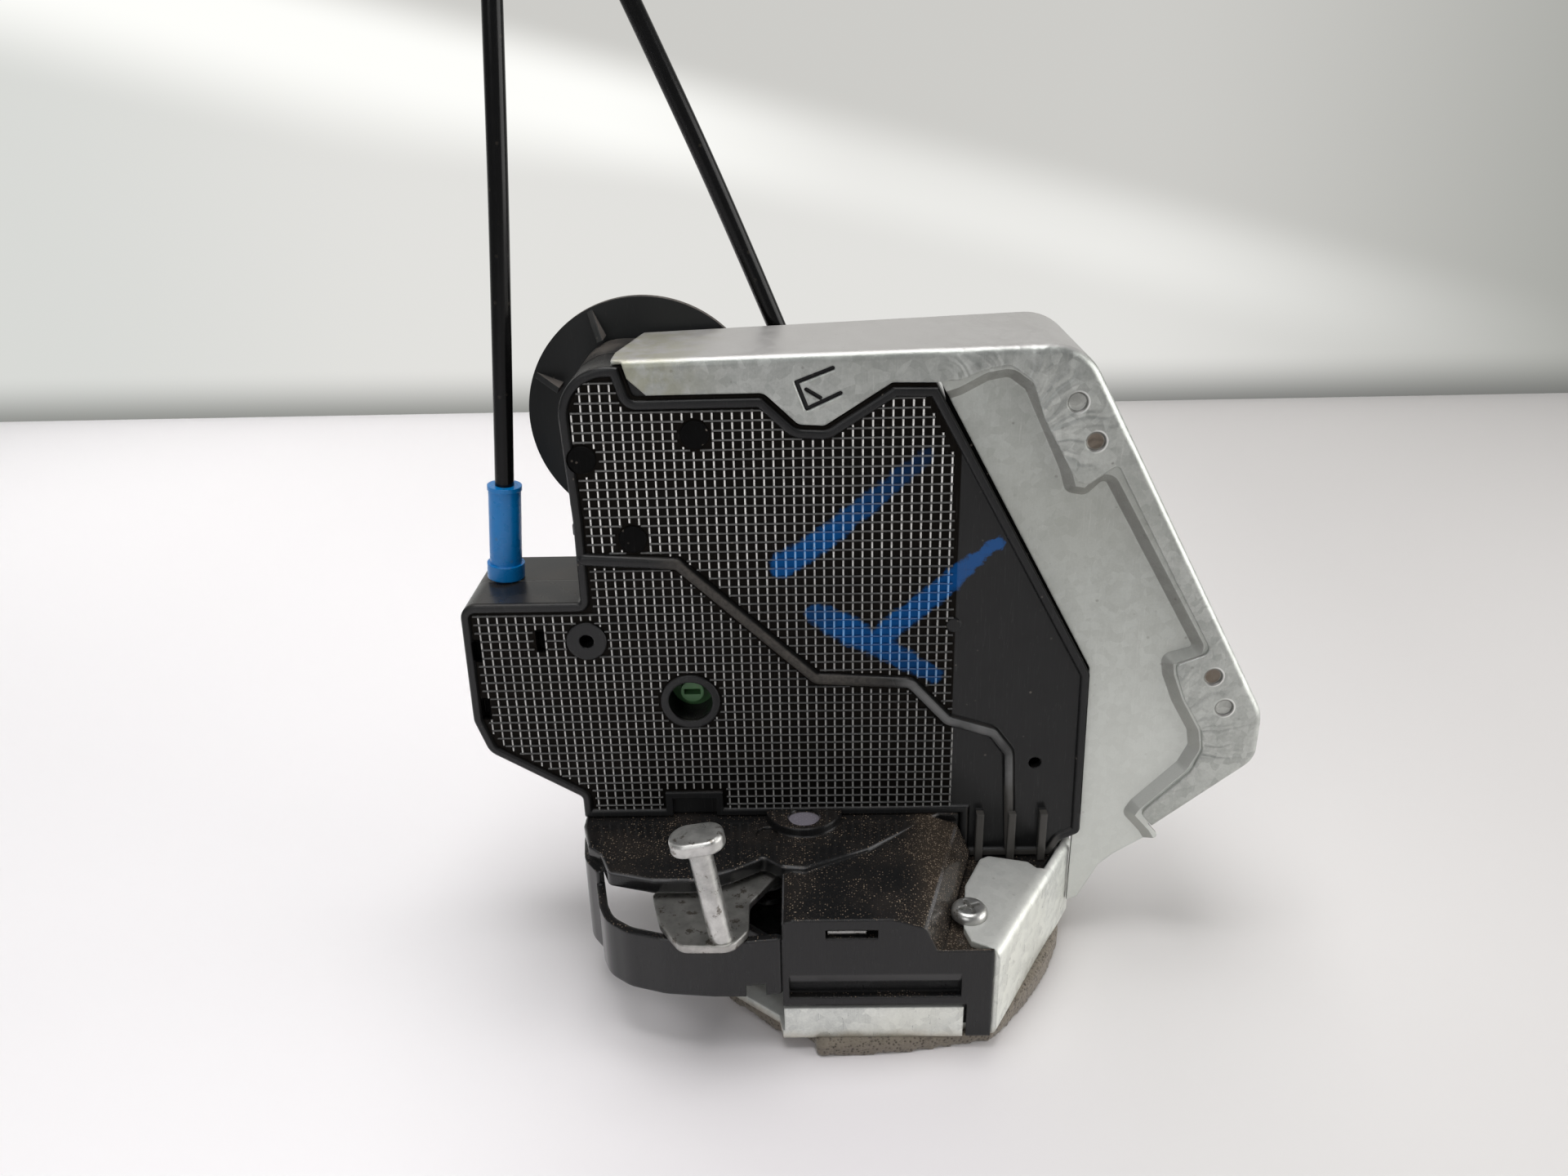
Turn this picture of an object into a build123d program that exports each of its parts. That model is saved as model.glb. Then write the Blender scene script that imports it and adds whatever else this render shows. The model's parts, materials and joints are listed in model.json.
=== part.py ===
from build123d import *
import math
import os

# Car door latch with its electric lock actuator. Millimetres. +Z up as the latch stands on its foam pad,
# +X to the right and +Y away from the ribbed face. The origin is under the middle of the part's box.

os.makedirs("parts", exist_ok=True)

# ---------------------------------------------------------------- driving sizes
# Fits
running = 0.05            # radial clearance of a shaft in its bearing
seat = 0.2                # clearance of a seated part
layer_gap = 0.4           # clearance above and below a moving plate

# Base of the latch
pad_thickness = 4.0
plate_thickness = 2.5
flange_thickness = 2.0
front_flange_height = 9.5
plate_front = -41.0
plate_back = 24.0
plate_left = -40.0
plate_right = 58.5
front_flange_left = -22.6
front_flange_right = 22.7
tab_top = 31.4            # top of the folded tab over the latch body
flange_near = (31.2, plate_front)
flange_far = (plate_right, 6.5)
door_screw_radius = 2.5   # tapping radius of the M6 door screws
door_screws = [(-31.0, 14.0), (44.0, 14.0), (11.0, -30.0)]

# Striker slot, fork and pawl
mouth_x = 9.0
mouth_width = 15.0
mouth_end = -8.5
striker_seat = 17.0       # from the fork pivot to the seated striker
fork_pivot = (-8.0, -2.0)
fork_radius = 22.0
fork_thickness = 5.0
fork_slot_width = 11.0
fork_open_angle = 55.0
fork_pin_radius = 4.0
catch_depth = 3.5
pawl_pivot = (26.0, -24.0)
pawl_hub_radius = 7.0
pawl_pin_radius = 3.5
pawl_nose = (-3.1, -27.0)
pawl_nose_radius = 3.2
pawl_lift = 8.0           # degrees
lift_pin_radius = 1.8
back_plate_thickness = 2.0

# Latch body
body_wall = 2.2
deck_thickness = 4.0
deck_top = 43.5
deck_fall = 2.5           # the deck drops this much towards the front edge
bar_bottom = 18.5
bar_top = 35.5
block_bottom = 14.5
window_left, window_right = -12.0, 1.0   # window of the release lever's tongue
window_low, window_high = 35.4, 38.0

# Outside-open lever
lever_thickness = 2.0
lever_pivot = (-27.0, -8.0)
lever_bore = 3.0
lever_pin_at = (-37.4, -43.0)
lever_pin_radius = 2.9
lever_pin_length = 27.5
lever_pin_lean = 9.0      # degrees, towards -X
pin_head_length = 13.2
pin_head_width = 9.6
pin_head_thickness = 3.2

# Case of the actuator
face_y = 1.0
case_depth = 33.0
front_shell_depth = 15.0
case_wall = 2.2
case_left = -104.0
shoulder_top = 108.3
stem_margin = 3.0         # from the motor to the outside of the case
case_top = 168.8
case_right = 58.9
case_floor = 43.7         # underside, over the deck
case_foot = 29.5          # underside at the right, over the shelf
ridge_width = 3.2
ridge_rounding = 1.3
rim_rounding = 0.8
back_rounding = 1.5
deck_rounding = 0.8
rib_height = 0.9

# Steel protector
sheet = 1.0
lip_front = 0.3
protector_rise = 3.5      # over the top of the case
protector_right = 104.3
panel_recess = 2.3
flange_back_left = 31.5   # back edge of the top flange at its left end
flange_back_right = 41.0  # and at its right end
bend_radius = 2.0         # outside of the bend between wall and lip
recess_reach = 1.8        # the recess starts this much outside its corner points
recess_slant = 48         # degrees, of the sides of the panel's recess
clinch_radius = 2.3
clinch_depth = 0.6
clinches = [(49.4, 158.3), (54.4, 148.6), (89.8, 84.7), (93.7, 75.5)]

# Motor, gears and lock lever
mid_y = 17.5
motor_radius = 10.0
motor_length = 28.0
motor_to_wheel = 17.0     # from the front of the motor to the wheel's axis
module = 1.0
wheel_teeth = 40
pinion_teeth = 12
sector_teeth = 48
worm_radius = 3.5         # pitch radius
worm_length = 14.0
wheel_thickness = 4.0
pinion_thickness = 5.0
wheel_at = (-25.0, 127.5)
wheel_shaft_radius = 2.0
lock_shaft_radius = 3.0

# Cables
sheath_radius = 2.45
wire_radius = 0.8
nipple_radius = 2.2
ferrule_radius = 4.2
ferrule_bore = 1.4
collar_radius = 4.9
collar_height = 4.0
left_cable_y = 18.0
right_cable_gap = 7.0      # from the back of the case to the cable's axis

# Key coupling, inside-open lever
key_at = (-46.3, 79.5)
key_hole_radius = 5.8
key_rotor_radius = 3.1
key_flange_radius = 7.0
inside_pivot = (-72.0, 88.5)
inside_pin_radius = 1.9

# Flange disc and connector
disc_at = (-57.4, 147.3)
disc_radius = 31.6
disc_thickness = 2.2
connector_width = 26.0
connector_height = 16.0
connector_wall = 1.8
connector_back = 48.5

# ---------------------------------------------------------------- derived levels
case_back = face_y + case_depth
part_line = face_y + front_shell_depth
pad_top = pad_thickness
plate_top = pad_top + plate_thickness
fork_bottom = plate_top + layer_gap
fork_top = fork_bottom + fork_thickness
back_plate_bottom = fork_top + layer_gap
back_plate_top = back_plate_bottom + back_plate_thickness
deck_bottom = deck_top - deck_thickness
shelf_top = tab_top - flange_thickness - seat
lever_bottom = bar_top + layer_gap
lever_top = lever_bottom + lever_thickness
lip_back = lip_front + sheet
protector_top = case_top + protector_rise
right_cable_y = case_back + right_cable_gap
disc_front = case_back + 2.0
disc_back = disc_front + disc_thickness
motor_right = wheel_at[0] - motor_to_wheel
motor_left = motor_right - motor_length
stem_left = motor_left - stem_margin
worm_at_z = wheel_at[1] + module * wheel_teeth / 2 + worm_radius
lock_at = (wheel_at[0] + module * (pinion_teeth + sector_teeth) / 2, wheel_at[1])

FRONT = Plane(origin=(0, 0, 0), x_dir=(1, 0, 0), z_dir=(0, -1, 0))
SIDE = Plane(origin=(0, 0, 0), x_dir=(0, 1, 0), z_dir=(1, 0, 0))
UP = Vector(0, 0, 1)
BACK = Vector(0, 1, 0)
RIGHT = Vector(1, 0, 0)


# ---------------------------------------------------------------- drawing helpers
def outline(corners):
    """Flat face bounded by straight runs; a corner is (u, v) or (u, v, radius)."""
    radii = [corner[2] if len(corner) > 2 else 0 for corner in corners]
    points = [(corner[0], corner[1]) for corner in corners]
    return make_face(FilletPolyline(*points, radius=radii, close=True))


def slab_z(face, low, high):
    """Face drawn in X and Y, thickened from low to high in Z."""
    return extrude(Pos(0, 0, low) * face, amount=high - low, dir=UP)


def slab_y(face, low, high):
    """Face drawn in X and Z, thickened from low to high in Y."""
    return extrude(Pos(0, low, 0) * (FRONT * face), amount=high - low, dir=BACK)


def box(x0, x1, y0, y1, z0, z1):
    return Pos((x0 + x1) / 2, (y0 + y1) / 2, (z0 + z1) / 2) * Box(x1 - x0, y1 - y0, z1 - z0)


def rod(start, end, radius):
    """Round bar between two points."""
    start, end = Vector(start), Vector(end)
    way = end - start
    return Part(Solid.make_cylinder(radius, way.length, Plane(origin=start, z_dir=way)).wrapped)


def rod_z(at, low, high, radius):
    return rod((at[0], at[1], low), (at[0], at[1], high), radius)


def rod_y(at, low, high, radius):
    return rod((at[0], low, at[1]), (at[0], high, at[1]), radius)


def ring_y(at, low, high, outer, inner):
    return rod_y(at, low, high, outer) - rod_y(at, low - 1, high + 1, inner)


def swing(at, radius, degrees):
    """Point at a radius and angle about a centre."""
    turn = math.radians(degrees)
    return (at[0] + radius * math.cos(turn), at[1] + radius * math.sin(turn))


def bar(points, width):
    """Flat bar of one width with round ends and corners, along a list of points."""
    face = None
    for start, end in zip(points, points[1:]):
        way = Vector(*end) - Vector(*start)
        middle = (Vector(*start) + Vector(*end)) / 2
        angle = math.degrees(math.atan2(way.Y, way.X))
        piece = Pos(middle.X, middle.Y) * Rot(0, 0, angle) * Rectangle(way.length, width)
        piece += Pos(*start) * Circle(width / 2) + Pos(*end) * Circle(width / 2)
        face = piece if face is None else face + piece
    return face


def save(shape, node):
    export_step(shape, f"parts/{node}.step")


def hull(a, ra, b, rb):
    """Face around two circles and the straight tangents between them."""
    way = Vector(*b) - Vector(*a)
    heading = math.degrees(math.atan2(way.Y, way.X))
    lean = math.degrees(math.acos((ra - rb) / way.length))
    corners = [swing(a, ra, heading + lean), swing(b, rb, heading + lean)]
    corners += [swing(b, rb, heading - lean), swing(a, ra, heading - lean)]
    return outline(corners) + Pos(*a) * Circle(ra) + Pos(*b) * Circle(rb)


def coil(at, low, high, radius, wire):
    """Helical spring standing on Z."""
    turns = 4
    path = Helix(pitch=(high - low - 2 * wire) / turns, height=high - low - 2 * wire, radius=radius)
    section = Plane(origin=path @ 0, z_dir=path % 0) * Circle(wire)
    return Pos(at[0], at[1], low + wire) * sweep(section, path=path, is_frenet=True)


def gear(teeth, low, high, first=0, count=None):
    """Toothed wheel on the Y axis; the teeth are thinned for backlash."""
    pitch_radius = module * teeth / 2
    root = pitch_radius - 1.15 * module
    tip = pitch_radius + 0.85 * module
    half_root = 0.62 * module
    half_tip = 0.28 * module
    tooth = outline([(root - 0.3, -half_root), (tip, -half_tip), (tip, half_tip), (root - 0.3, half_root)])
    face = Circle(root)
    for index in range(count or teeth):
        face += Rot(0, 0, first + index * 360 / teeth) * tooth
    return slab_y(face, low, high)


# ---------------------------------------------------------------- shared outlines
# Case seen from the front, X and Z
case_corners = [
    (case_left, shoulder_top, 4), (-104.4, 74.5, 5), (-101.3, 64.9, 5), (-77.4, 50.2, 2),
    (-77.4, case_floor, 0.5), (25.8, case_floor), (25.8, case_foot), (51.2, case_foot, 1),
    (53.6, 34.2, 1), (case_right, 36.8, 2), (57.9, 86.0, 3), (15.9, 163.6, 1.5),
    (11.5, case_top, 2), (stem_left - 1.4, case_top, 12), (stem_left + 0.2, 130.0, 8),
    (stem_left + 0.1, shoulder_top, 0.8),
]
# Edge of the steel lip that lies over the top of the face
lip_edge = [
    (-60.7, protector_top - 2.2), (-57.9, protector_top - 2.6, 1), (-55.6, protector_top - 10.4, 1),
    (-24.7, protector_top - 10.3, 3), (-16.6, protector_top - 18.1, 3),
    (-10.4, protector_top - 18.5, 2.5), (5.6, protector_top - 8.3, 1.5), (15.6, protector_top - 8.5, 1),
]
# Centre line of the protector's wall
wall_line = [
    (-61.0, protector_top - 2.6), (50.4, protector_top - 0.5, 13.5), (protector_right - 0.5, 73.1, 11.5),
    (protector_right - 0.5, 59.4, 6.5), (78.2, 38.2),
]
front_line = [(-24, -40), (-31, -40.9), (-40, -40.8), (-52, -39.6), (-61, -36.8), (-66.5, -32.6),
              (-68.7, -27.5), (-71.0, -17.5), (-74.6, -12.6), (-76.1, -3.0), (-76.1, 2.0)]

flange_way = Vector(flange_far[0] - flange_near[0], flange_far[1] - flange_near[1]).normalized()
flange_in = Vector(-flange_way.Y, flange_way.X)


def beside_flange(y, inset):
    """X of the line that runs inset inside the outer face of the oblique flange."""
    start = Vector(*flange_near) + flange_in * inset
    return start.X + (y - start.Y) * flange_way.X / flange_way.Y


# ---------------------------------------------------------------- base of the latch
def striker_mouth(margin=0.0):
    half = mouth_width / 2 + margin
    slot = outline([(mouth_x - half, 60), (mouth_x - half, mouth_end - margin, 5),
                    (mouth_x + half, mouth_end - margin, 5), (mouth_x + half, 60)])
    return slot


def base_outline():
    return outline([
        (-23, -41), (front_flange_right, -41), (front_flange_right, -38.6), (beside_flange(-38.6, 5), -38.6),
        (beside_flange(2, 5), 2), (plate_right, 8), (plate_right, plate_back, 4),
        (plate_left, plate_back, 4), (plate_left, -22), (-35, -26.8), (-24, -35.8),
    ])


def foam_pad():
    pad = outline([
        (-14.2, -44.0, 1), (6.3, -42.9, 20), (19.0, -40.8, 20), (30.6, -38.6, 1.5), (38.3, -25.9, 30),
        (45.0, -15.0, 30), (52.4, -1.6, 12), (55.6, 7.5, 8), (56.8, 23.4, 4),
        (-39, 23.4, 4), (-39, -21.6, 3), (-25.0, -34.6, 2), (-15.4, -38.4, 1),
    ])
    pad = slab_z(pad, 0, pad_top) - slab_z(striker_mouth(1.0), -1, pad_top + 1)
    for at in door_screws:
        pad -= rod_z(at, -1, pad_top + 1, 5.0)
    for at in (fork_pivot, pawl_pivot):
        pad -= rod_z(at, -1, pad_top + 1, 4.0)
    return pad


def base_plate():
    body = slab_z(base_outline(), pad_top, plate_top)
    body += box(front_flange_left, front_flange_right, plate_front, plate_front + flange_thickness,
                pad_top, pad_top + front_flange_height)
    section = outline([
        (0, pad_top, 2.5), (0, tab_top, 3.2), (26, tab_top), (26, tab_top - flange_thickness),
        (flange_thickness, tab_top - flange_thickness, 1.2), (flange_thickness, plate_top, 0.8),
        (7, plate_top), (7, pad_top),
    ])
    length = (Vector(*flange_far) - Vector(*flange_near)).length
    seat_plane = Plane(origin=(flange_near[0], flange_near[1], 0), x_dir=(flange_in.X, flange_in.Y, 0),
                       z_dir=(flange_way.X, flange_way.Y, 0))
    flange = extrude(seat_plane * section, amount=length)
    tab_zone = outline([
        (beside_flange(-43, 3.6), -43), (23.2, -32.1, 1.5), (25.6, -15.6, 2), (31.1, -3.9, 1.5),
        (33.6, -2.4, 1.5), (43.9, -5.2, 1.5), (47.4, -10.0), (beside_flange(-10, 3.6), -10),
    ])
    inner = outline([(beside_flange(-60, 3.6), -60), (beside_flange(30, 3.6), 30), (-60, 30), (-60, -60)])
    flange -= slab_z(inner - tab_zone, plate_top + 3, tab_top + 1)
    behind = outline([(beside_flange(-8, 2), -8), (beside_flange(30, 2), 30), (-60, 30), (-60, -8)])
    flange -= slab_z(behind - tab_zone, plate_top + 3, tab_top + 1)
    body += flange
    body -= slab_z(striker_mouth(), pad_top - 1, plate_top + 1)
    body -= rod_z(fork_pivot, 0, 10, fork_pin_radius - 1)
    body -= rod_z(pawl_pivot, 0, 10, pawl_pin_radius - 1)
    body -= rod_z(screw_at, tab_top - 4, tab_top + 1, 2.8)
    for at in door_screws:
        body -= rod_z(at, 0, 10, door_screw_radius)
    return body


def fork():
    body = Circle(fork_radius)
    slot = Pos(striker_seat + 15, 0) * Rectangle(30, fork_slot_width)
    slot += Pos(striker_seat, 0) * Circle(fork_slot_width / 2)
    step = Circle(fork_radius + 2) - Circle(fork_radius - catch_depth)
    wedge = outline([(0, 0), swing((0, 0), 40, -50), swing((0, 0), 40, -84)])
    relief = outline([swing((0, 0), 14.5, 62), swing((0, 0), 40, 50), swing((0, 0), 40, 140),
                      swing((0, 0), 14.5, 120)])
    body = body - slot - (step & wedge) - relief - Circle(fork_pin_radius + running)
    body = Pos(*fork_pivot) * Rot(0, 0, fork_open_angle) * body
    return slab_z(body, fork_bottom, fork_top)


def stepped_pin(at, shaft, tenon, top):
    body = rod_z(at, plate_top, back_plate_bottom, shaft)
    body += rod_z(at, pad_top, plate_top, tenon)
    body += rod_z(at, back_plate_bottom, top, tenon)
    return body + rod_z(at, top, top + 1.2, shaft + 0.8)


def fork_pin():
    return stepped_pin(fork_pivot, fork_pin_radius, fork_pin_radius - 1, back_plate_top)


def pawl():
    body = slab_z(hull(pawl_pivot, pawl_hub_radius, pawl_nose, pawl_nose_radius), fork_bottom, fork_top)
    body -= rod_z(pawl_pivot, 0, 20, pawl_pin_radius + running)
    return body + rod_z(pawl_nose, fork_top, release_top, lift_pin_radius)


def pawl_pin():
    return stepped_pin(pawl_pivot, pawl_pin_radius, pawl_pin_radius - 1, release_top + layer_gap)


def release_lever():
    body = slab_z(hull(pawl_pivot, 5.5, (-5.5, -27.6), 4.4), release_bottom, release_top)
    body += box(-12, 1, -30, -28.4, release_bottom, window_low + 0.6)
    tongue = (window_left + 0.6, window_right - 2.9)
    body += box(*tongue, plate_front + 1.2, -28.4, window_low + 0.5, window_low + 1.4)
    body -= rod_z(pawl_pivot, 0, 40, pawl_pin_radius - 1 + running)
    return body - rod_z(pawl_nose, 0, 40, lift_pin_radius)


def back_plate():
    body = outline([(-33, -22, 4), (-20, -36.2, 3), (30, -36.2, 3), (41, -14, 5), (41, 20.5, 4),
                    (-33, 20.5, 4)]) - striker_mouth()
    body = slab_z(body, back_plate_bottom, back_plate_top)
    body -= rod_z(fork_pivot, 0, 20, fork_pin_radius - 1)
    body -= rod_z(pawl_pivot, 0, 20, pawl_pin_radius - 1)
    travel = [Pos(*swing(pawl_pivot, lift_reach, lift_heading + angle)) * Circle(lift_pin_radius + 0.4)
              for angle in range(-1, int(pawl_lift) + 2)]
    for hole in travel:
        body -= slab_z(hole, 0, 20)
    return body


def slot_bumper():
    return box(mouth_x - 6.3, mouth_x + 6.3, mouth_end - 5.3, mouth_end - 0.3, back_plate_top, 25)


def fork_spring():
    return coil(fork_pivot, back_plate_top + 1.6, back_plate_top + 7.6, 5.4, 0.7)


# ---------------------------------------------------------------- latch body
def eased_bar(points, width, radius):
    """Flat bar of one width with round ends and corners of one radius, along a list of points."""
    face = trace(FilletPolyline(*points, radius=radius), line_width=width)
    for end in (points[0], points[-1]):
        face += Pos(*end) * Circle(width / 2)
    return face


def sheared(corners, start, way):
    """X and Z outline at y = start, carried along a slanting way."""
    way = Vector(*way)
    return extrude(Pos(0, start, 0) * (FRONT * outline(corners)), amount=way.length, dir=way)


def latch_body():
    depth = face_y - 1.4 - plate_front
    rise = (0, depth, deck_fall)
    slant = (12.2, depth, deck_fall)
    front_top = deck_top - deck_fall
    left = [(-22.8, block_bottom), (-22.8, front_top - 1, 1.2), (-20, front_top), (3.8, front_top),
            (3.8, block_bottom)]
    right = [(-9, block_bottom), (-9, front_top), (5, front_top, 6), (12.6, front_top - 2.6, 2),
             (16.6, shelf_top, 1), (16.6, block_bottom)]
    body = sheared(left, plate_front, rise) + sheared(right, plate_front, slant)
    deck = outline([
        (-77.2, 33), (-77.2, -2.8, 2), (-74.5, -12.3, 1), (-70.7, -16, 1), (-67.4, -24.1, 2.5),
        (-55.4, -27.6, 4), (-45, -27.8, 4), (-35.8, -23.9, 2), (-27.6, -18.5, 1.5), (-22.8, -22.4, 1),
        (-17, -23.2), (0, -15), (20, 1), (25.4, 1), (25.4, 33),
    ])
    deck = slab_z(deck, deck_bottom, deck_top)
    body += fillet(deck.edges().group_by(Axis.Z)[-1], deck_rounding)
    low = outline([
        (-22.8, plate_front), (28.0, plate_front), (28.0, -39.5), (beside_flange(-39.5, 3.3), -39.5),
        (beside_flange(5.6, 3.3), 5.6), (58.2, 9), (58.2, plate_back - 0.3, 3), (-39.8, plate_back - 0.3, 3),
        (-39.8, -22), (-35, -26.6), (-24, -35.6), (-22.8, -36),
    ])
    body += slab_z(low, block_bottom, shelf_top)
    raised_back = plate_back - 0.3
    raised = outline([(-39.8, raised_back), (-39.8, -14), (-30, -14), (25.4, 1), (25.4, raised_back)])
    body += slab_z(raised, shelf_top - 1, deck_bottom + 1)

    # Hollow over the fork and the pawl
    room = outline([
        (-20, -37.4, 2), (beside_flange(-37.4, 5.2), -37.4), (beside_flange(4, 5.2), 4), (55.8, 10),
        (55.8, 21.4), (-37.6, 21.4), (-37.6, -21.2), (-34, -24.6),
    ])
    body -= slab_z(room, block_bottom - 1, shelf_top - 2.2)
    tall_room = outline([(-20, -37.4, 2), (8, -37.4), (14, -18), (22, 3), (22, 21.4), (-37.6, 21.4),
                         (-37.6, -21.2), (-34, -24.6)])
    body -= slab_z(tall_room, block_bottom - 1, deck_bottom - 2.4)
    rear_room = outline([(-37.6, 21.4), (-37.6, -21.2), (-29.5, -16), (22, 1), (22, 21.4)])
    body -= slab_z(rear_room, block_bottom - 1, deck_bottom)

    # Passage of the outside lever
    passage = outline([
        (-78, -60), (-78, 12), (-37, 12), (-14, 12), (-14, -14), (-22.6, -24), (-22.6, -60),
    ])
    body -= slab_z(passage, lever_bottom - 0.5, deck_bottom)

    # Skirt behind the front flange, right post and frame
    skirt = outline([(-21, -38.8), (25.5, -38.8), (25.5, -36.8), (-21, -36.8)])
    body += slab_z(skirt, plate_top, block_bottom + 1)
    body += box(23.5, 27.0, plate_front, -38.8, pad_top + 0.2, shelf_top)
    body += box(24.0, 29.7, plate_front, flange_near[1] + 0.7, pad_top + 0.2, shelf_top)
    body += box(15.0, 29.7, plate_front, flange_near[1] + 0.7, shelf_top - 1, tab_top)
    groove = extrude(SIDE * outline([(plate_front - 1, 17.0), (plate_front - 1, 24.6), (plate_front, 24.2),
                                     (plate_front + 2.4, 17.0)]), amount=43.2, dir=RIGHT)
    body -= Pos(-21.2, 0, 0) * groove
    body -= box(window_left, window_right, plate_front - 1, -27.6, window_low, window_high)

    # Curved bar under the lever and left column
    body += slab_z(eased_bar(front_line[:8], body_wall, 9), bar_bottom, bar_top)
    body += slab_z(eased_bar(front_line[7:], body_wall, 9), block_bottom, deck_bottom)
    body -= box(-32, -27, -44, -38, bar_bottom - 1, 22)
    body -= box(-80, -70, -9.5, -6.5, 22, 29)

    # Posts and walls inside
    lever_boss = rod_z(lever_pivot, lever_top + 0.2, deck_top, 6)
    body += lever_boss
    body -= rod_z(lever_pivot, 20, deck_top + 1, lever_bore)
    half = mouth_width / 2 + 0.3
    for side in (-1, 1):
        wall = box(-1, 1, mouth_end, 22, back_plate_top + 0.2, deck_bottom)
        body += Pos(mouth_x + side * (half + 1), 0, 0) * wall
    body += box(mouth_x - half - 2, mouth_x + half + 2, mouth_end - 7.3, mouth_end - 5.3,
                back_plate_top + 0.2, deck_bottom)
    body -= box(mouth_x - half + 0.3, mouth_x + half - 0.3, 20, 30, 0, 34)
    body += rod_z(screw_at, 20.5, shelf_top, 4.6)
    body -= rod_z(screw_at, 20.4, shelf_top + 5, 2.5)

    # Round stop in front of the case
    stop = rod_z((-17, face_y - 0.3), deck_top - 0.5, deck_top + 2.5, 10.5)
    stop -= box(-40, 10, face_y - 1.2, 20, 0, 60)
    stop -= rod_z((-17, -4.0), deck_top + 1.9, deck_top + 3, 4.2)
    return body + stop


def tab_screw():
    head = rod_z(screw_at, tab_top, tab_top + 2.6, 4.7)
    head = fillet(head.edges().sort_by(Axis.Z)[-1], 1.8)
    cross = box(-2.9, 2.9, -0.5, 0.5, tab_top + 1.2, tab_top + 4)
    cross += box(-0.5, 0.5, -2.9, 2.9, tab_top + 1.2, tab_top + 4)
    shank = rod_z(screw_at, 20.5, tab_top, 2.5)
    return head - Pos(screw_at[0], screw_at[1], 0) * Rot(0, 0, 20) * cross + shank


# ---------------------------------------------------------------- outside-open lever
def outside_lever():
    plate = outline([
        (-53.2, -37.4, 5), (-47.2, -46.3, 4.5), (-34.6, -46.3, 5), (-30.8, -40.4, 4), (-31, -30, 4),
        (-20.6, -13, 5), (-20.6, -2.5, 5), (-33, -1.5, 6), (-50, -19, 3), (-56.1, -26.2, 2),
    ])
    body = slab_z(plate, lever_bottom, lever_top) - rod_z(lever_pivot, 0, 60, lever_bore + running)
    return body - rod_z(lever_pin_at, 0, 60, lever_pin_radius - 0.9)


def lever_t_pin():
    base = Vector(lever_pin_at[0], lever_pin_at[1], lever_top)
    lean = math.radians(lever_pin_lean)
    way = Vector(-math.sin(lean), 0, math.cos(lean))
    shank = rod(base - way, base + way * lever_pin_length, lever_pin_radius)
    shank -= box(base.X - 9, base.X + 9, base.Y - 9, base.Y + 9, lever_top - 9, lever_top)
    shank += rod_z(lever_pin_at, lever_bottom, lever_top + 1, lever_pin_radius - 0.9)
    top = Plane(origin=base + way * lever_pin_length, x_dir=(math.cos(lean), 0, math.sin(lean)), z_dir=way)
    corner = pin_head_width / 2 - 0.3
    head = extrude(top * RectangleRounded(pin_head_length, pin_head_width, corner), amount=pin_head_thickness)
    return shank + fillet(head.edges().group_by(Axis.Z)[-1], 0.9)


def lever_rivet():
    body = rod_z(lever_pivot, 26.5, deck_top - 0.6, lever_bore) + rod_z(lever_pivot, 25, 26.5, 6.5)
    return body


def lever_spring():
    return coil(lever_pivot, 27.0, lever_bottom - 1.0, 4.6, 0.7)


# ---------------------------------------------------------------- case
def case_face(inset=0.0):
    face = outline(case_corners)
    return offset(face, amount=-inset, kind=Kind.INTERSECTION) if inset else face


def lip_zone(grow=0.0):
    """Area of the face under the steel lip."""
    low, high = protector_top - 8.5, protector_top + 17.7
    zone = outline(lip_edge + [(40, low), (40, high), (-64, high), (-64, protector_top - 2.2)])
    return offset(zone, amount=grow, kind=Kind.INTERSECTION) if grow else zone


def ferrule_axis(height):
    """Point of the left cable's axis at a height."""
    return Vector(left_foot[0] + (height - left_foot[1]) * left_slope, left_cable_y, height)


def posts(low, high, radius):
    body = None
    for at in case_screws:
        post = rod_y(at, low, high, radius)
        body = post if body is None else body + post
    return body


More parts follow.
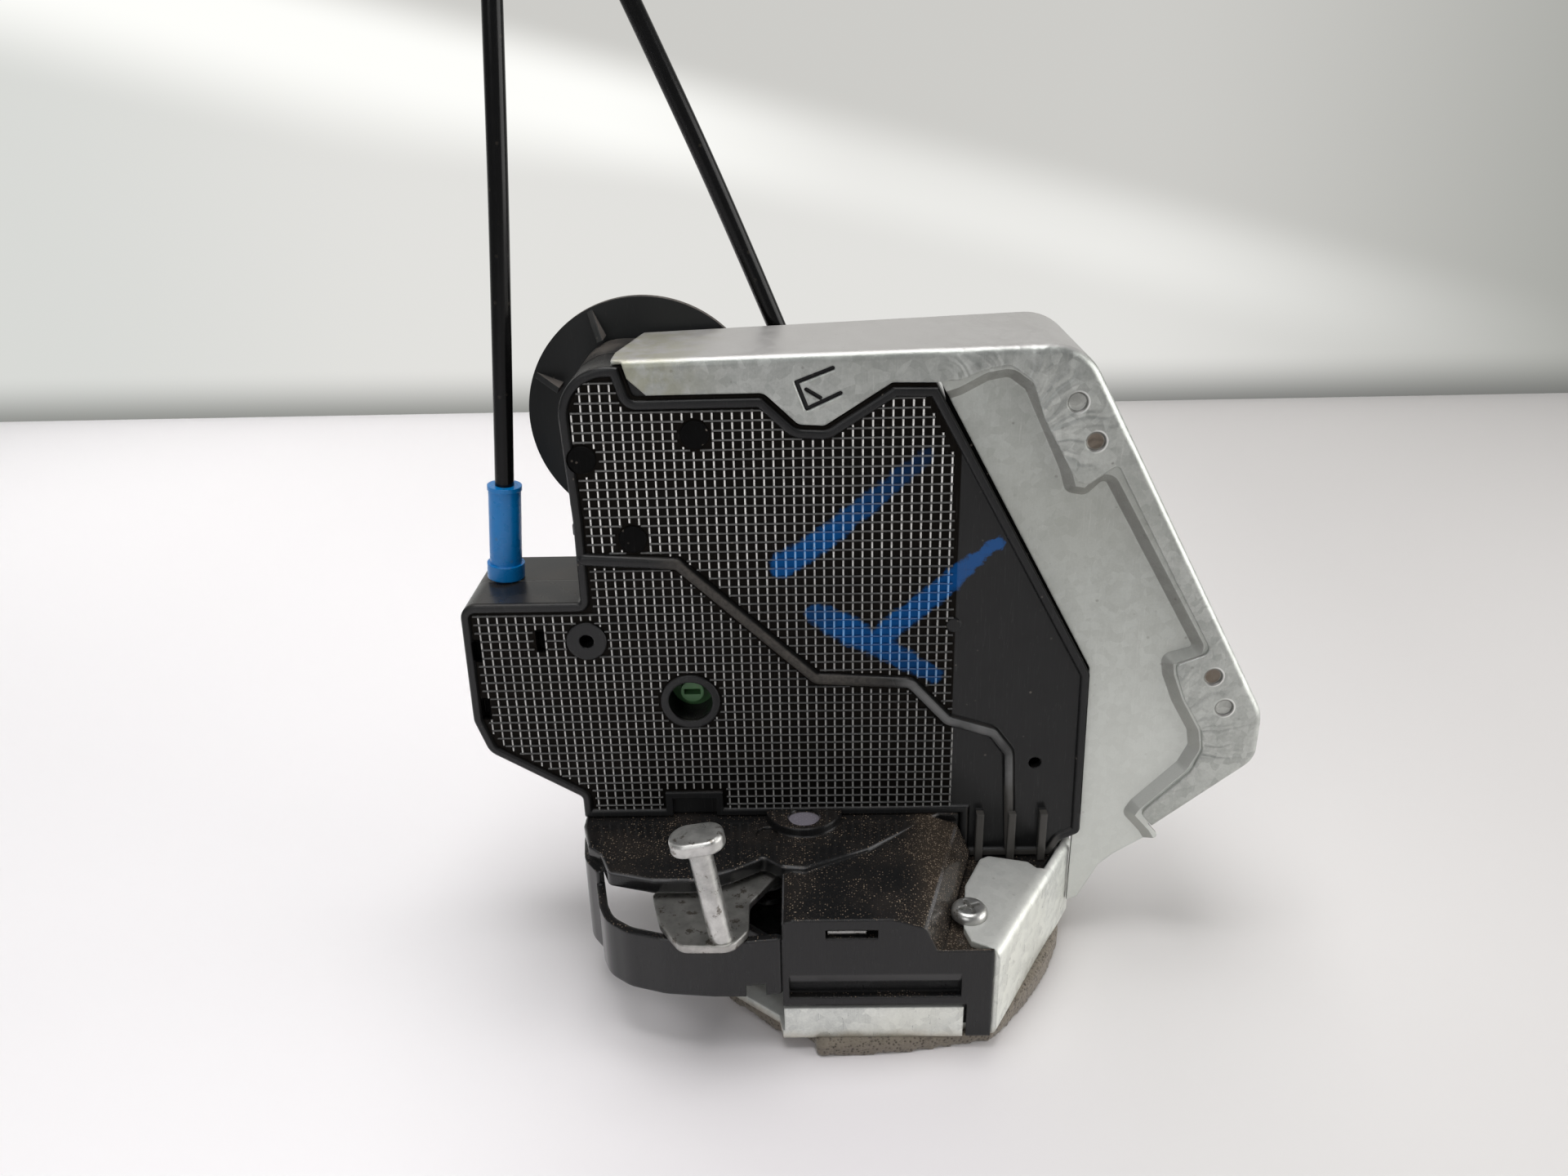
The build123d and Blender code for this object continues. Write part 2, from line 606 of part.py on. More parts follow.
def front_housing():
    body = slab_y(case_face(), face_y, part_line)
    body -= slab_y(case_face(case_wall), face_y + case_wall, part_line + 1)
    border = case_face() - case_face(2.4) - lip_zone(1.2)
    lip_border = (lip_zone(3.6) - lip_zone(1.2)) & case_face()
    rim = slab_y(border + lip_border, face_y - rib_height, face_y + 0.2)
    body += fillet(rim.edges().group_by(Axis.Y)[0], rim_rounding)
    body -= slab_y(lip_zone(0.4), face_y - 3, lip_back + 0.2)

    # Curved ridge across the face, and the fins at its foot
    ridge = slab_y(eased_bar(ridge_line, ridge_width, 3), face_y - 1.5, face_y + 0.2)
    body += fillet(ridge.edges().group_by(Axis.Y)[0], ridge_rounding)
    for x in fins:
        body += box(x - 1, x + 1, -2.0, face_y + 0.2, case_foot, 44.6)

    # Bosses, rings and holes of the face
    body += ring_y(face_boss, face_y - 0.8, face_y + 0.2, 5.2, 1.9)
    body += rod_y(face_boss, face_y + 1, 12, 3.4) - rod_y(face_boss, 0, 10, 1.9)
    body -= rod_y(face_boss, 0, 10, 1.9)
    body += rod_y((22.2, 100.5), face_y - 0.5, face_y + 0.2, 1.9)
    body -= rod_y((45.3, 59.1), 0, 8, 1.7)
    body += rod_y(key_at, face_y - 0.8, key_tube_end, key_hole_radius + 2)
    body -= rod_y(key_at, -1, key_tube_end + 1, key_hole_radius)
    for x, z in face_slots:
        body -= box(x - 0.85, x + 0.85, -1, face_y + 1.5, z - 2.7, z + 2.7)
    for at in plugs:
        body -= rod_y(at, -1, face_y + 3, 2.5) + rod_y(at, -1, face_y, 3.6)
    notch = box(-54.7, -39.1, face_y - 0.9, face_y + 0.2, 44.4, 51.5)
    body += notch
    body -= box(-52.9, -40.9, face_y - 2, face_y + 1.2, 43, 49.6)

    # Inside: screw posts, bearings and motor cradle
    body += posts(face_y + 1, part_line, 3.8)
    body -= posts(6, part_line + 1, 1.5)
    for at, radius in ((lock_at, lock_shaft_radius + running), (wheel_at, wheel_shaft_radius),
                       (inside_pivot, inside_pin_radius)):
        body += rod_y(at, face_y + 1, 11.5, radius + 2.6)
        body -= rod_y(at, face_y + 2.2, 12, radius)
    for x in (motor_left + 5, motor_right - 5):
        rib = box(x - 1, x + 1, face_y + 1, 13, worm_at_z - 8, worm_at_z + 8)
        body += rib - rod((x - 9, mid_y, worm_at_z), (x + 9, mid_y, worm_at_z), motor_radius)
    return body - rod(ferrule_axis(98), ferrule_axis(118), 3.2)


def rear_housing():
    body = slab_y(case_face(), part_line, case_back)
    body = fillet(body.edges().group_by(Axis.Y)[-1], back_rounding)
    body -= slab_y(case_face(case_wall), part_line - 1, case_back - case_wall)
    body += posts(part_line, case_back - 1, 3.8)
    body -= posts(part_line - 1, case_back + 1, 1.7)
    for at, radius in ((lock_at, lock_shaft_radius + running), (wheel_at, wheel_shaft_radius),
                       (inside_pivot, inside_pin_radius), (key_at, 3.0 + running)):
        body += rod_y(at, case_back - 8.5, case_back - 1, radius + 2.6)
        body -= rod_y(at, case_back - 14, case_back - 1.2 if at != lock_at else case_back + 1, radius)
    for x in (motor_left + 5, motor_right - 5):
        rib = box(x - 1, x + 1, case_back - 12, case_back - 1, worm_at_z - 8, worm_at_z + 8)
        body += rib - rod((x - 9, mid_y, worm_at_z), (x + 9, mid_y, worm_at_z), motor_radius)
    body += box(shaft_end - 4, shaft_end - 1, mid_y - 3, case_back - 1, worm_at_z - 2.4, case_top - 4)
    body += box(shaft_end - 4, shaft_end - 1, mid_y, case_back - 1, case_top - 5, case_top - 1)
    body -= rod((shaft_end - 6, mid_y, worm_at_z), (shaft_end, mid_y, worm_at_z), 1.0 + running)
    for at in carrier_posts:
        body += rod_y(at, carrier_back, case_back - 1, 2.4)
    neck = box(disc_at[0] - neck_width / 2, disc_at[0] + neck_width / 2, case_back - 6, case_back + 3,
               disc_at[1] - neck_height / 2, disc_at[1] + neck_height / 2)
    body -= neck
    body += right_bracket()
    for at in ((-66, 163.4), (-74.2, 133.5), (-73.4, 121.5)):
        body += box(at[0] - 1.8, at[0] + 1.2, 18, 28, at[1] - 2.4, at[1] + 2.4)
    return body - rod(ferrule_axis(98), ferrule_axis(118), 3.2)


def right_point(distance):
    """Point of the right cable's axis, at a distance below the top of its ferrule."""
    return Vector(right_top[0], right_cable_y, right_top[1]) - right_way * distance


def right_bracket():
    """Forked bracket on the back of the case that holds the second ferrule by its groove."""
    low, high = right_point(11.8), right_point(8.2)
    middle = (low + high) / 2
    block = Plane(origin=middle, x_dir=(right_way.Z, 0, -right_way.X), z_dir=right_way)
    plate = extrude(block * Pos(0, 0.5) * Rectangle(15, 15), amount=1.8, both=True)
    plate -= extrude(block * Circle(3.0), amount=9, both=True)
    plate -= extrude(block * Pos(0, 6) * Rectangle(5.6, 12), amount=9, both=True)
    return plate


def blanking_plug(at):
    head = rod_y(at, face_y - 0.7, face_y, 3.5)
    head = fillet(head.edges().sort_by(Axis.Y)[0], 0.35)
    return head + rod_y(at, face_y, face_y + 3, 2.5)


def case_screw(at):
    head = rod_y(at, case_back, case_back + 2.2, 3.4)
    head -= box(at[0] - 2, at[0] + 2, case_back + 1, case_back + 3, at[1] - 0.4, at[1] + 0.4)
    head -= box(at[0] - 0.4, at[0] + 0.4, case_back + 1, case_back + 3, at[1] - 2, at[1] + 2)
    return head + rod_y(at, 7, case_back, 1.5)


# ---------------------------------------------------------------- steel protector
def wall_face():
    radii = [corner[2] if len(corner) > 2 else 0 for corner in wall_line[1:-1]]
    line = FilletPolyline(*[(c[0], c[1]) for c in wall_line], radius=radii)
    return trace(line, line_width=sheet)


def bend_edges(body):
    """Outer edges of the bend between the wall and the lip."""
    radii = [corner[2] if len(corner) > 2 else 0 for corner in wall_line[1:-1]]
    line = FRONT * FilletPolyline(*[(c[0], c[1]) for c in wall_line], radius=radii)
    found = []
    for edge in body.edges():
        middle = edge @ 0.5
        level = max(abs(point.Y - lip_front) for point in (edge @ 0, middle, edge @ 1))
        away = line.distance_to(Vector(middle.X, 0, middle.Z))
        if level < 0.01 and abs(away - sheet / 2) < 0.02 and edge.length > 2 * sheet:
            found.append(edge)
    return found


def protector_area(inset):
    """Area inside the protector's wall, closed over the case."""
    corners = [(-61.2, protector_top - 2.1 - inset), (50.4, protector_top - inset, 14 - inset)]
    corners += [(protector_right - inset, 73.1, 12 - inset), (protector_right - inset, 59.4, 7 - inset)]
    corners += [(78.4 - 0.7 * inset, 37.7 + 0.7 * inset)]
    return corners


def protector_shell():
    body = slab_y(wall_face(), lip_front, 42)
    slope = outline([(-64, flange_back_left), (52, flange_back_right), (110, flange_back_right - 3),
                     (110, 60), (-64, 60)])
    body -= slab_z(slope, 30, 190)
    body -= slab_y(outline([(60, 20), (60, 50), (88, 50), (110, 66), (120, 20)]), 26, 60)
    closed = outline(protector_area(0.05))
    body += slab_y(closed, lip_front, lip_back)
    body -= slab_z(outline([(-70, 3), (-61.6, 3), (-56.6, 30, 2), (-53, 45), (-70, 45)]), 160, 180)
    body -= slab_z(outline([(-70, -1), (-60.4, -1), (-60.4, 60), (-70, 60)]), 160, 185)
    end = Vector(*wall_line[-1])
    way = (end - Vector(*wall_line[-2])).normalized()
    middle = end + way * 3
    heading = math.degrees(math.atan2(way.Y, way.X))
    body -= slab_y(Pos(middle.X, middle.Y) * Rot(0, 0, heading) * Rectangle(7, 12), -1, 60)
    body = fillet(bend_edges(body), bend_radius)
    lip = outline(protector_area(0.05) + [
        (79.7, 36.9), (75.6, 42.2, 1), (75.8, 43.6, 1), (87.2, 55.8, 3), (89.6, 62.5, 4),
        (88.7, 68.4, 4), (83.4, 77.6, 4), (80.5, 85.2, 2), (80.0, 88.3, 1.2), (88.7, 91.6, 2),
        (75.9, 114.3), (60.3, 142.6, 1), (58.4, 141.4, 1), (53.2, 137.6, 2), (50.6, 138.6, 1.5),
        (41.9, 154.3, 2), (38.6, 163.6, 4), (33, 167.6, 3), (27.8, 166.7, 3), (21.5, 164.2, 2),
    ] + lip_edge[::-1])
    body -= slab_y(closed - lip, 0, lip_back)
    for at in clinches:
        body -= rod_y(at, 0, lip_front + clinch_depth, clinch_radius)
    lance = [(-8.4, 167.6), (-16.9, 164.4), (-14.5, 158.0), (-6.6, 161.6)]
    for points in (lance, [(-14.6, 162.6), (-11.4, 160.6)]):
        body -= slab_y(bar(points, 1.1), 0, 2)
    return body


recess_corners = [
    (17.0, 159.0), (22.0, 160.5, 3), (28.4, 163.9, 3), (33.4, 164.8, 3), (38.0, 161.4, 3),
    (47.6, 141.0, 3), (49.2, 135.6, 2), (53.4, 134.8, 2), (58.1, 139.6, 2), (85.6, 91.8, 1.5),
    (77.4, 89.4, 2), (78.2, 84.4, 2), (81.3, 76.7, 3), (86.4, 67.7, 3), (87.3, 62.8, 3),
    (84.8, 57.0, 3), (73.5, 44.8, 2), (71.6, 41.4, 2), (76.6, 35.6), (86, 20), (50, 0), (40, 36),
]


def dish(grow, low, high, slant):
    """Recess of the panel with leaning sides."""
    flipped = [(corner[0], -corner[1]) + tuple(corner[2:]) for corner in recess_corners]
    face = offset(outline(flipped), amount=grow, kind=Kind.INTERSECTION)
    plane = Plane(origin=(0, low, 0), x_dir=(1, 0, 0), z_dir=(0, 1, 0))
    return extrude(plane * face, amount=high - low, taper=slant)


def protector_panel():
    zone = outline([
        (14.0, protector_top - 3.9), (50.2, protector_top - 1.2, 12.7),
        (protector_right - 1.2, 72.9, 10.7), (protector_right - 1.2, 59.8, 6), (77.6, 38.9),
        (80.8, 35, 1), (69.6, 27.6, 2), (65.7, 24, 3), (60.4, 12.9, 1), (57.6, 11.8), (57.6, 35.4),
        (59.4, 36.5), (58.4, 86.3), (16.6, 164.6),
    ])
    front = lip_back
    back = front + panel_recess
    body = slab_y(zone, front, front + sheet)
    body += dish(recess_reach + 1.3, front, back + sheet, recess_slant)
    body -= dish(recess_reach, front - 0.01, back, recess_slant)
    return body & slab_y(zone, front, back + sheet)


# ---------------------------------------------------------------- motor, gears, lock lever
def motor_can():
    body = rod((motor_left, mid_y, worm_at_z), (motor_right, mid_y, worm_at_z), motor_radius)
    bore = rod((motor_left + 6, mid_y, worm_at_z), (motor_right + 1, mid_y, worm_at_z), 1 + running)
    return body - bore


def worm():
    start = (motor_right - 20, mid_y, worm_at_z)
    body = rod(start, (shaft_end - 0.5, mid_y, worm_at_z), 1.0)
    middle = wheel_at[0]
    root = worm_radius - module
    half = worm_length / 2
    body += rod((middle - half, mid_y, worm_at_z), (middle + half, mid_y, worm_at_z), root)
    pitch = math.pi * module
    thread_radius = root - 0.3
    turns = 3
    path = Helix(pitch=pitch, height=turns * pitch, radius=thread_radius)
    profile = outline([(-0.95, -0.3), (-0.4, 1.25), (0.4, 1.25), (0.95, -0.3)])
    start_plane = Plane(origin=path @ 0, x_dir=(0, 0, 1), z_dir=path % 0)
    outward = start_plane.y_dir.dot(Vector((path @ 0).X, (path @ 0).Y, 0))
    if outward < 0:
        profile = Rot(0, 0, 180) * profile
    thread = sweep(start_plane * profile, path=path, is_frenet=True)
    axis = Plane(origin=(middle - turns * pitch / 2, mid_y, worm_at_z), x_dir=(0, 0, 1), z_dir=(1, 0, 0))
    thread = axis * Rot(0, 0, thread_phase) * thread
    return body + thread


def worm_wheel():
    body = Pos(wheel_at[0], 0, wheel_at[1]) * gear(wheel_teeth, wheel_front, wheel_front + wheel_thickness)
    pinion = gear(pinion_teeth, wheel_front + wheel_thickness - 0.5, pinion_back)
    body += Pos(wheel_at[0], 0, wheel_at[1]) * pinion
    groove = ring_y((0, 0), wheel_front - 1, wheel_front + 1.2, 15.5, 8)
    body -= Pos(wheel_at[0], 0, wheel_at[1]) * groove
    return body - rod_y(wheel_at, 0, 30, wheel_shaft_radius + running)


def wheel_shaft():
    return rod_y(wheel_at, face_y + 2.3, case_back - 1.3, wheel_shaft_radius)


def lock_lever():
    sector = gear(sector_teeth, wheel_front + wheel_thickness, pinion_back, first=180 / sector_teeth)
    start, end = 170, 229
    keep = outline([(0, 0)] + [swing((0, 0), 60, angle) for angle in (start, (start + end) / 2, end)])
    sector = sector & slab_y(keep, 0, 40)
    sector -= ring_y((0, 0), 10, 40, 17, 9.5) & slab_y(offset(keep, amount=-3), 0, 40)
    body = Pos(lock_at[0], 0, lock_at[1]) * sector
    body += rod_y(lock_at, 12, pinion_back, 6.5)
    return body + rod_y(lock_at, face_y + 2.4, lock_arm_back, lock_shaft_radius)


def nipple_arm(at, reach, angle, cheeks, hub_low, hub_high, hub_radius, hole_radius, width):
    """Lever with two cheeks that hold the barrel end of a wire between them."""
    end = swing(at, reach, angle)
    body = rod_y(at, hub_low, hub_high, hub_radius)
    for low, high in cheeks:
        body += slab_y(bar([at, end], width), low, high)
    return body - rod_y(end, 0, 60, hole_radius)


def outer_lock_arm():
    cheeks = [(right_cable_y - 2.4, right_cable_y - 1.2), (right_cable_y + 1.2, right_cable_y + 2.4)]
    body = nipple_arm(lock_at, lock_reach, lock_rest_angle, cheeks, case_back + 0.3, lock_arm_back, 5.0,
                      nipple_radius + 0.7, 8.4)
    return body - rod_y(lock_at, 0, 60, lock_shaft_radius)


def inside_lever():
    cheeks = [(left_cable_y - 2.4, left_cable_y - 1.2), (left_cable_y + 1.2, left_cable_y + 2.4)]
    body = nipple_arm(inside_pivot, inside_reach, inside_rest_angle, cheeks, 12, 25, 4.6,
                      nipple_radius + 0.6, 6.6)
    return body - rod_y(inside_pivot, 0, 60, inside_pin_radius + running)


def inside_lever_pin():
    return rod_y(inside_pivot, face_y + 2.3, case_back - 1.3, inside_pin_radius)


def key_rotor():
    body = rod_y(key_at, 6, key_tube_end + 0.4, key_rotor_radius)
    body += rod_y(key_at, key_tube_end + 0.4, key_tube_end + 3.4, key_flange_radius)
    body += slab_y(hull(key_at, key_flange_radius, (key_at[0], key_at[1] - 13), 3), 13, 16)
    body += rod_y(key_at, 13, case_back - 1.4, 3.0)
    return body - box(key_at[0] - 2.2, key_at[0] + 2.2, 5, 9, key_at[1] - 0.8, key_at[1] + 0.8)


def circuit_carrier():
    board = outline([(-36, 56, 2), (20, 56, 2), (20, 102, 2), (-36, 102, 2)])
    body = slab_y(board, carrier_back - 1.5, carrier_back)
    for x in (-31, -26, -21):
        body += box(x - 1, x + 1, carrier_back - 2, carrier_back - 1, 60, 98)
    return body


def micro_switch(at):
    body = box(at[0] - 10, at[0] + 10, carrier_back - 8, carrier_back - 1.5, at[1] - 5, at[1] + 5)
    return body + box(at[0] - 1.5, at[0] + 1.5, carrier_back - 6, carrier_back - 3, at[1] + 5, at[1] + 6.5)


# ---------------------------------------------------------------- flange disc and connector
def flange_disc():
    body = rod_y(disc_at, disc_front, disc_back, disc_radius)
    body += box(disc_at[0] - neck_width / 2 + seat, disc_at[0] + neck_width / 2 - seat, 30, disc_front,
                disc_at[1] - neck_height / 2 + seat, disc_at[1] + neck_height / 2 - seat)
    gusset_end = disc_radius - 0.6
    gusset_face = outline([(23.5, disc_front), (gusset_end, disc_front), (23.5, disc_front - 6.5)])
    gusset = slab_z(gusset_face, -0.8, 0.8)
    for angle in (115, 158):
        body += Pos(disc_at[0], 0, disc_at[1]) * Rot(0, -angle, 0) * gusset
    socket = box(-connector_width / 2, connector_width / 2, disc_back - 1, connector_back,
                 -connector_height / 2, connector_height / 2)
    body += Pos(disc_at[0], 0, disc_at[1]) * socket
    inner_width = connector_width / 2 - connector_wall
    inner_height = connector_height / 2 - connector_wall
    hollow = box(-inner_width, inner_width, disc_front + 1, connector_back + 1, -inner_height, inner_height)
    body -= Pos(disc_at[0], 0, disc_at[1]) * hollow
    for x, z in terminal_places:
        body -= box(x - 0.5, x + 0.5, 29, disc_front + 2, z - 0.5, z + 0.5)
    return body


def connector_terminals():
    body = box(disc_at[0] - 10, disc_at[0] + 10, 29, 30, disc_at[1] - 5, disc_at[1] + 5)
    for x, z in terminal_places:
        body += box(x - 0.5, x + 0.5, 29.5, connector_back - 4, z - 0.5, z + 0.5)
    return body


def disc_seal():
    return ring_y(disc_at, disc_back, disc_back + 2.6, disc_radius - 0.8, disc_radius - 4.8)


# ---------------------------------------------------------------- cables
def sheath(points):
    """Tube along straight runs and tangent arcs; prints the radii used."""
    vectors = [Vector(*point) for point in points]
    radii = []
    for before, corner, after in zip(vectors, vectors[1:], vectors[2:]):
        run_in, run_out = corner - before, after - corner
        half = math.radians(run_in.get_angle(run_out)) / 2
        radii.append(0.45 * min(run_in.length, run_out.length) / math.tan(half))
    print("arc radii", [round(radius) for radius in radii])
    path = FilletPolyline(*points, radius=radii)
    section = Plane(origin=path @ 0, z_dir=path % 0) * Circle(sheath_radius)
    tube = sweep(section, path=path)
    print("sheath length", round(path.length, 2), "volume ratio",
          round(tube.volume / (math.pi * sheath_radius ** 2 * path.length), 4))
    return tube


def left_ferrule():
    body = rod(ferrule_axis(103.5), ferrule_axis(110), 3.0)
    body += rod(ferrule_axis(109), ferrule_axis(109 + collar_height), collar_radius)
    body += rod(ferrule_axis(112), ferrule_axis(134.5), ferrule_radius)
    body += rod(ferrule_axis(133.3), ferrule_axis(134.5), ferrule_radius + 0.25)
    return body - rod(ferrule_axis(100), ferrule_axis(140), ferrule_bore)


def wire_end(bottom, top, turn):
    """Inner wire with its barrel end."""
    body = rod(bottom, top, wire_radius)
    left, right = (bottom.X, bottom.Y - turn, bottom.Z), (bottom.X, bottom.Y + turn, bottom.Z)
    return body + rod(left, right, nipple_radius)


def left_wire():
    return wire_end(ferrule_axis(left_rest_height), ferrule_axis(118), 2.4)


def right_ferrule():
    body = rod(right_point(20), right_point(0), 4.4) - rod(right_point(12), right_point(8), 9)
    body += rod(right_point(13), right_point(7), 2.95)
    return body - rod(right_point(30), right_point(-5), ferrule_bore)


def right_wire():
    return wire_end(right_point(right_rest_distance), right_point(14), 2.4)


def far_ferrule(points):
    end = Vector(*points[-1])
    way = (end - Vector(*points[-2])).normalized()
    return rod(end, end + way * 18, 4.0) - rod(end + way * 2, end + way * 20, ferrule_bore)


def far_wire(points):
    end = Vector(*points[-1])
    way = (end - Vector(*points[-2])).normalized()
    body = rod(end + way * 2, end + way * 38, ferrule_bore)
    return body + rod(end + way * 36, end + way * 43, 2.5)


# ---------------------------------------------------------------- placed details
screw_at = (25.2, -27.0)
release_bottom = back_plate_top + 1.4
release_top = release_bottom + 2.0
lift_way = Vector(pawl_nose[0] - pawl_pivot[0], pawl_nose[1] - pawl_pivot[1])
lift_reach = lift_way.length
lift_heading = math.degrees(math.atan2(lift_way.Y, lift_way.X))

ridge_line = [(-71.0, 120.2), (-47.5, 118.7), (-13.0, 85.8), (11.5, 84.2), (21.4, 73.0), (33.5, 69.1),
              (38.1, 62.8), (39.9, 31.5)]
fins = [31.0, 39.7, 48.2]
face_boss = (-72.2, 97.6)
face_slots = [(-101.3, 95.0), (-84.2, 97.6), (-100.8, 77.9)]
plugs = [(motor_right + 0.4, 152.0), (stem_left + 3.7, 146.2), (-58.3, 125.4)]
case_screws = [(-95.5, 71.5), (51.0, 48.0), (7.0, 159.5), (-68.0, 50.6)]
key_tube_end = 9.6
shaft_end = -11.5
thread_phase = 180.0
wheel_front = mid_y - wheel_thickness / 2
pinion_back = wheel_front + wheel_thickness + pinion_thickness
carrier_back = case_back - 5.2
carrier_posts = [(-33, 59), (17, 59), (17, 99), (-33, 99)]
neck_width = 24.0
neck_height = 13.0
terminal_places = [(disc_at[0] + x, disc_at[1] + z) for x in (-8, -4, 0, 4, 8) for z in (-2.5, 2.5)]

left_foot = (-95.8, 107.3)
left_slope = (-93.2 + 95.8) / (134.5 - 107.3)
left_points = [(-93.2, left_cable_y, 134.5), (-88.9, left_cable_y, 179.0), (-84.9, left_cable_y, 223.0),
               (-81.5, left_cable_y, 266.0)]
left_rest_height = 84.45
inside_reach = 25.9
inside_rest_angle = 188.9

right_top = (-17.6, 158.0)
right_points = [(-17.6, right_cable_y, 158.0), (-31.4, right_cable_y, 193.0), (-47.1, right_cable_y, 230.0),
                (-63.3, right_cable_y, 266.0)]
right_way = (Vector(*right_points[1]) - Vector(*right_points[0])).normalized()
lock_arm_back = right_cable_y + 2.4
across = Vector(lock_at[0], 0, lock_at[1]) - Vector(right_top[0], 0, right_top[1])
lock_travel = 40.0
foot_distance = -(across.X * right_way.X + across.Z * right_way.Z)
lock_foot = right_point(foot_distance)
lock_arm_line = Vector(lock_foot.X - lock_at[0], lock_foot.Z - lock_at[1])
lock_reach = lock_arm_line.length * 1.02
lock_foot_angle = math.degrees(math.atan2(lock_arm_line.Y, lock_arm_line.X)) % 360
lock_rest_angle = lock_foot_angle + lock_travel / 2
right_rest_distance = foot_distance + lock_reach * math.sin(math.radians(lock_travel / 2))
print("lock reach", round(lock_reach, 2), "rest angle", round(lock_rest_angle, 2))
print("right wire travel", round(2 * (right_rest_distance - foot_distance), 3))

pieces = {
    "foam_pad": foam_pad, "base_plate": base_plate, "back_plate": back_plate, "fork": fork,
    "fork_pin": fork_pin, "fork_spring": fork_spring, "pawl": pawl, "pawl_pin": pawl_pin,
    "release_lever": release_lever, "slot_bumper": slot_bumper, "latch_body": latch_body,
    "tab_screw": tab_screw, "outside_lever": outside_lever, "lever_t_pin": lever_t_pin,
    "lever_rivet": lever_rivet, "lever_spring": lever_spring, "front_housing": front_housing,
    "rear_housing": rear_housing, "protector_shell": protector_shell, "protector_panel": protector_panel,
    "motor_can": motor_can, "worm": worm, "worm_wheel": worm_wheel, "wheel_shaft": wheel_shaft,
    "lock_lever": lock_lever, "outer_lock_arm": outer_lock_arm, "inside_lever": inside_lever,
    "inside_lever_pin": inside_lever_pin, "key_rotor": key_rotor, "circuit_carrier": circuit_carrier,
    "flange_disc": flange_disc, "connector_terminals": connector_terminals, "disc_seal": disc_seal,
    "left_ferrule": left_ferrule, "left_wire": left_wire, "right_ferrule": right_ferrule,
    "right_wire": right_wire,
}
for node, make in pieces.items():
    save(make(), node)
for index, at in enumerate(plugs, 1):
    save(blanking_plug(at), f"blanking_plug_{index}")
for index, at in enumerate(case_screws, 1):
    save(case_screw(at), f"case_screw_{index}")
for index, at in enumerate([(-4, 90), (4, 68)], 1):
    save(micro_switch(at), f"micro_switch_{index}")
for side, points in (("left", left_points), ("right", right_points)):
    save(sheath(points), f"{side}_sheath")
    save(far_ferrule(points), f"{side}_far_ferrule")
    save(far_wire(points), f"{side}_far_wire")
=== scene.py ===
import json
import math
import bmesh
import bpy
from mathutils import Matrix, Vector, noise


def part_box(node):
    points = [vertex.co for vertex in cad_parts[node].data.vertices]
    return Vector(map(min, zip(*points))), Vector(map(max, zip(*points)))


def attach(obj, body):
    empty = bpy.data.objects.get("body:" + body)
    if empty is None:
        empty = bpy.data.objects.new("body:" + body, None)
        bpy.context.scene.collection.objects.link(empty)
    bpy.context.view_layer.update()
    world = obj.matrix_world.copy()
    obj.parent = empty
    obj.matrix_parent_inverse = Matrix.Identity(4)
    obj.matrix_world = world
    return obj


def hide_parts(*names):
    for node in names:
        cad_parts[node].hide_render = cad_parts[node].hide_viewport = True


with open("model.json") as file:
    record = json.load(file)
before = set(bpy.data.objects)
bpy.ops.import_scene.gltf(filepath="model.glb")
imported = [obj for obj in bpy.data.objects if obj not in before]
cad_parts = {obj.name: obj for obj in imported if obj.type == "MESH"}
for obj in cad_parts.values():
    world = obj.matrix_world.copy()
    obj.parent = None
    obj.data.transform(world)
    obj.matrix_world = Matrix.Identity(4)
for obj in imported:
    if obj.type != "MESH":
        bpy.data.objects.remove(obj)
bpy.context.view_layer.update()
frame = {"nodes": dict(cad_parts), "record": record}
nodes = frame["nodes"]
mm = 0.001


print("frame loaded:", len(nodes), "nodes")


def inScene(name, data):
    piece = bpy.data.objects.new(name, data)
    bpy.context.collection.objects.link(piece)
    return piece


cameraPlace = {                               # metres, with the camera's own axes as directions
    "at": (-0.01483, -0.27911, 0.23349),
    "right": (0.99967561, 0.01233039, -0.02228513),
    "up": (0.01550492, 0.39953267, 0.91658782),
    "back": (0.02020552, -0.91663603, 0.39921189),
    "lens": 27.75, "sensor": 36, "nearest": 0.01,
}
cameraData = bpy.data.cameras.new("camera")
cameraData.lens = cameraPlace["lens"]
cameraData.sensor_width = cameraPlace["sensor"]
cameraData.clip_start = cameraPlace["nearest"]
camera = inScene("camera", cameraData)
turn = Matrix([cameraPlace[axis] for axis in ("right", "up", "back")]).transposed()
camera.matrix_world = Matrix.Translation(cameraPlace["at"]) @ turn.to_4x4()
bpy.context.scene.camera = camera


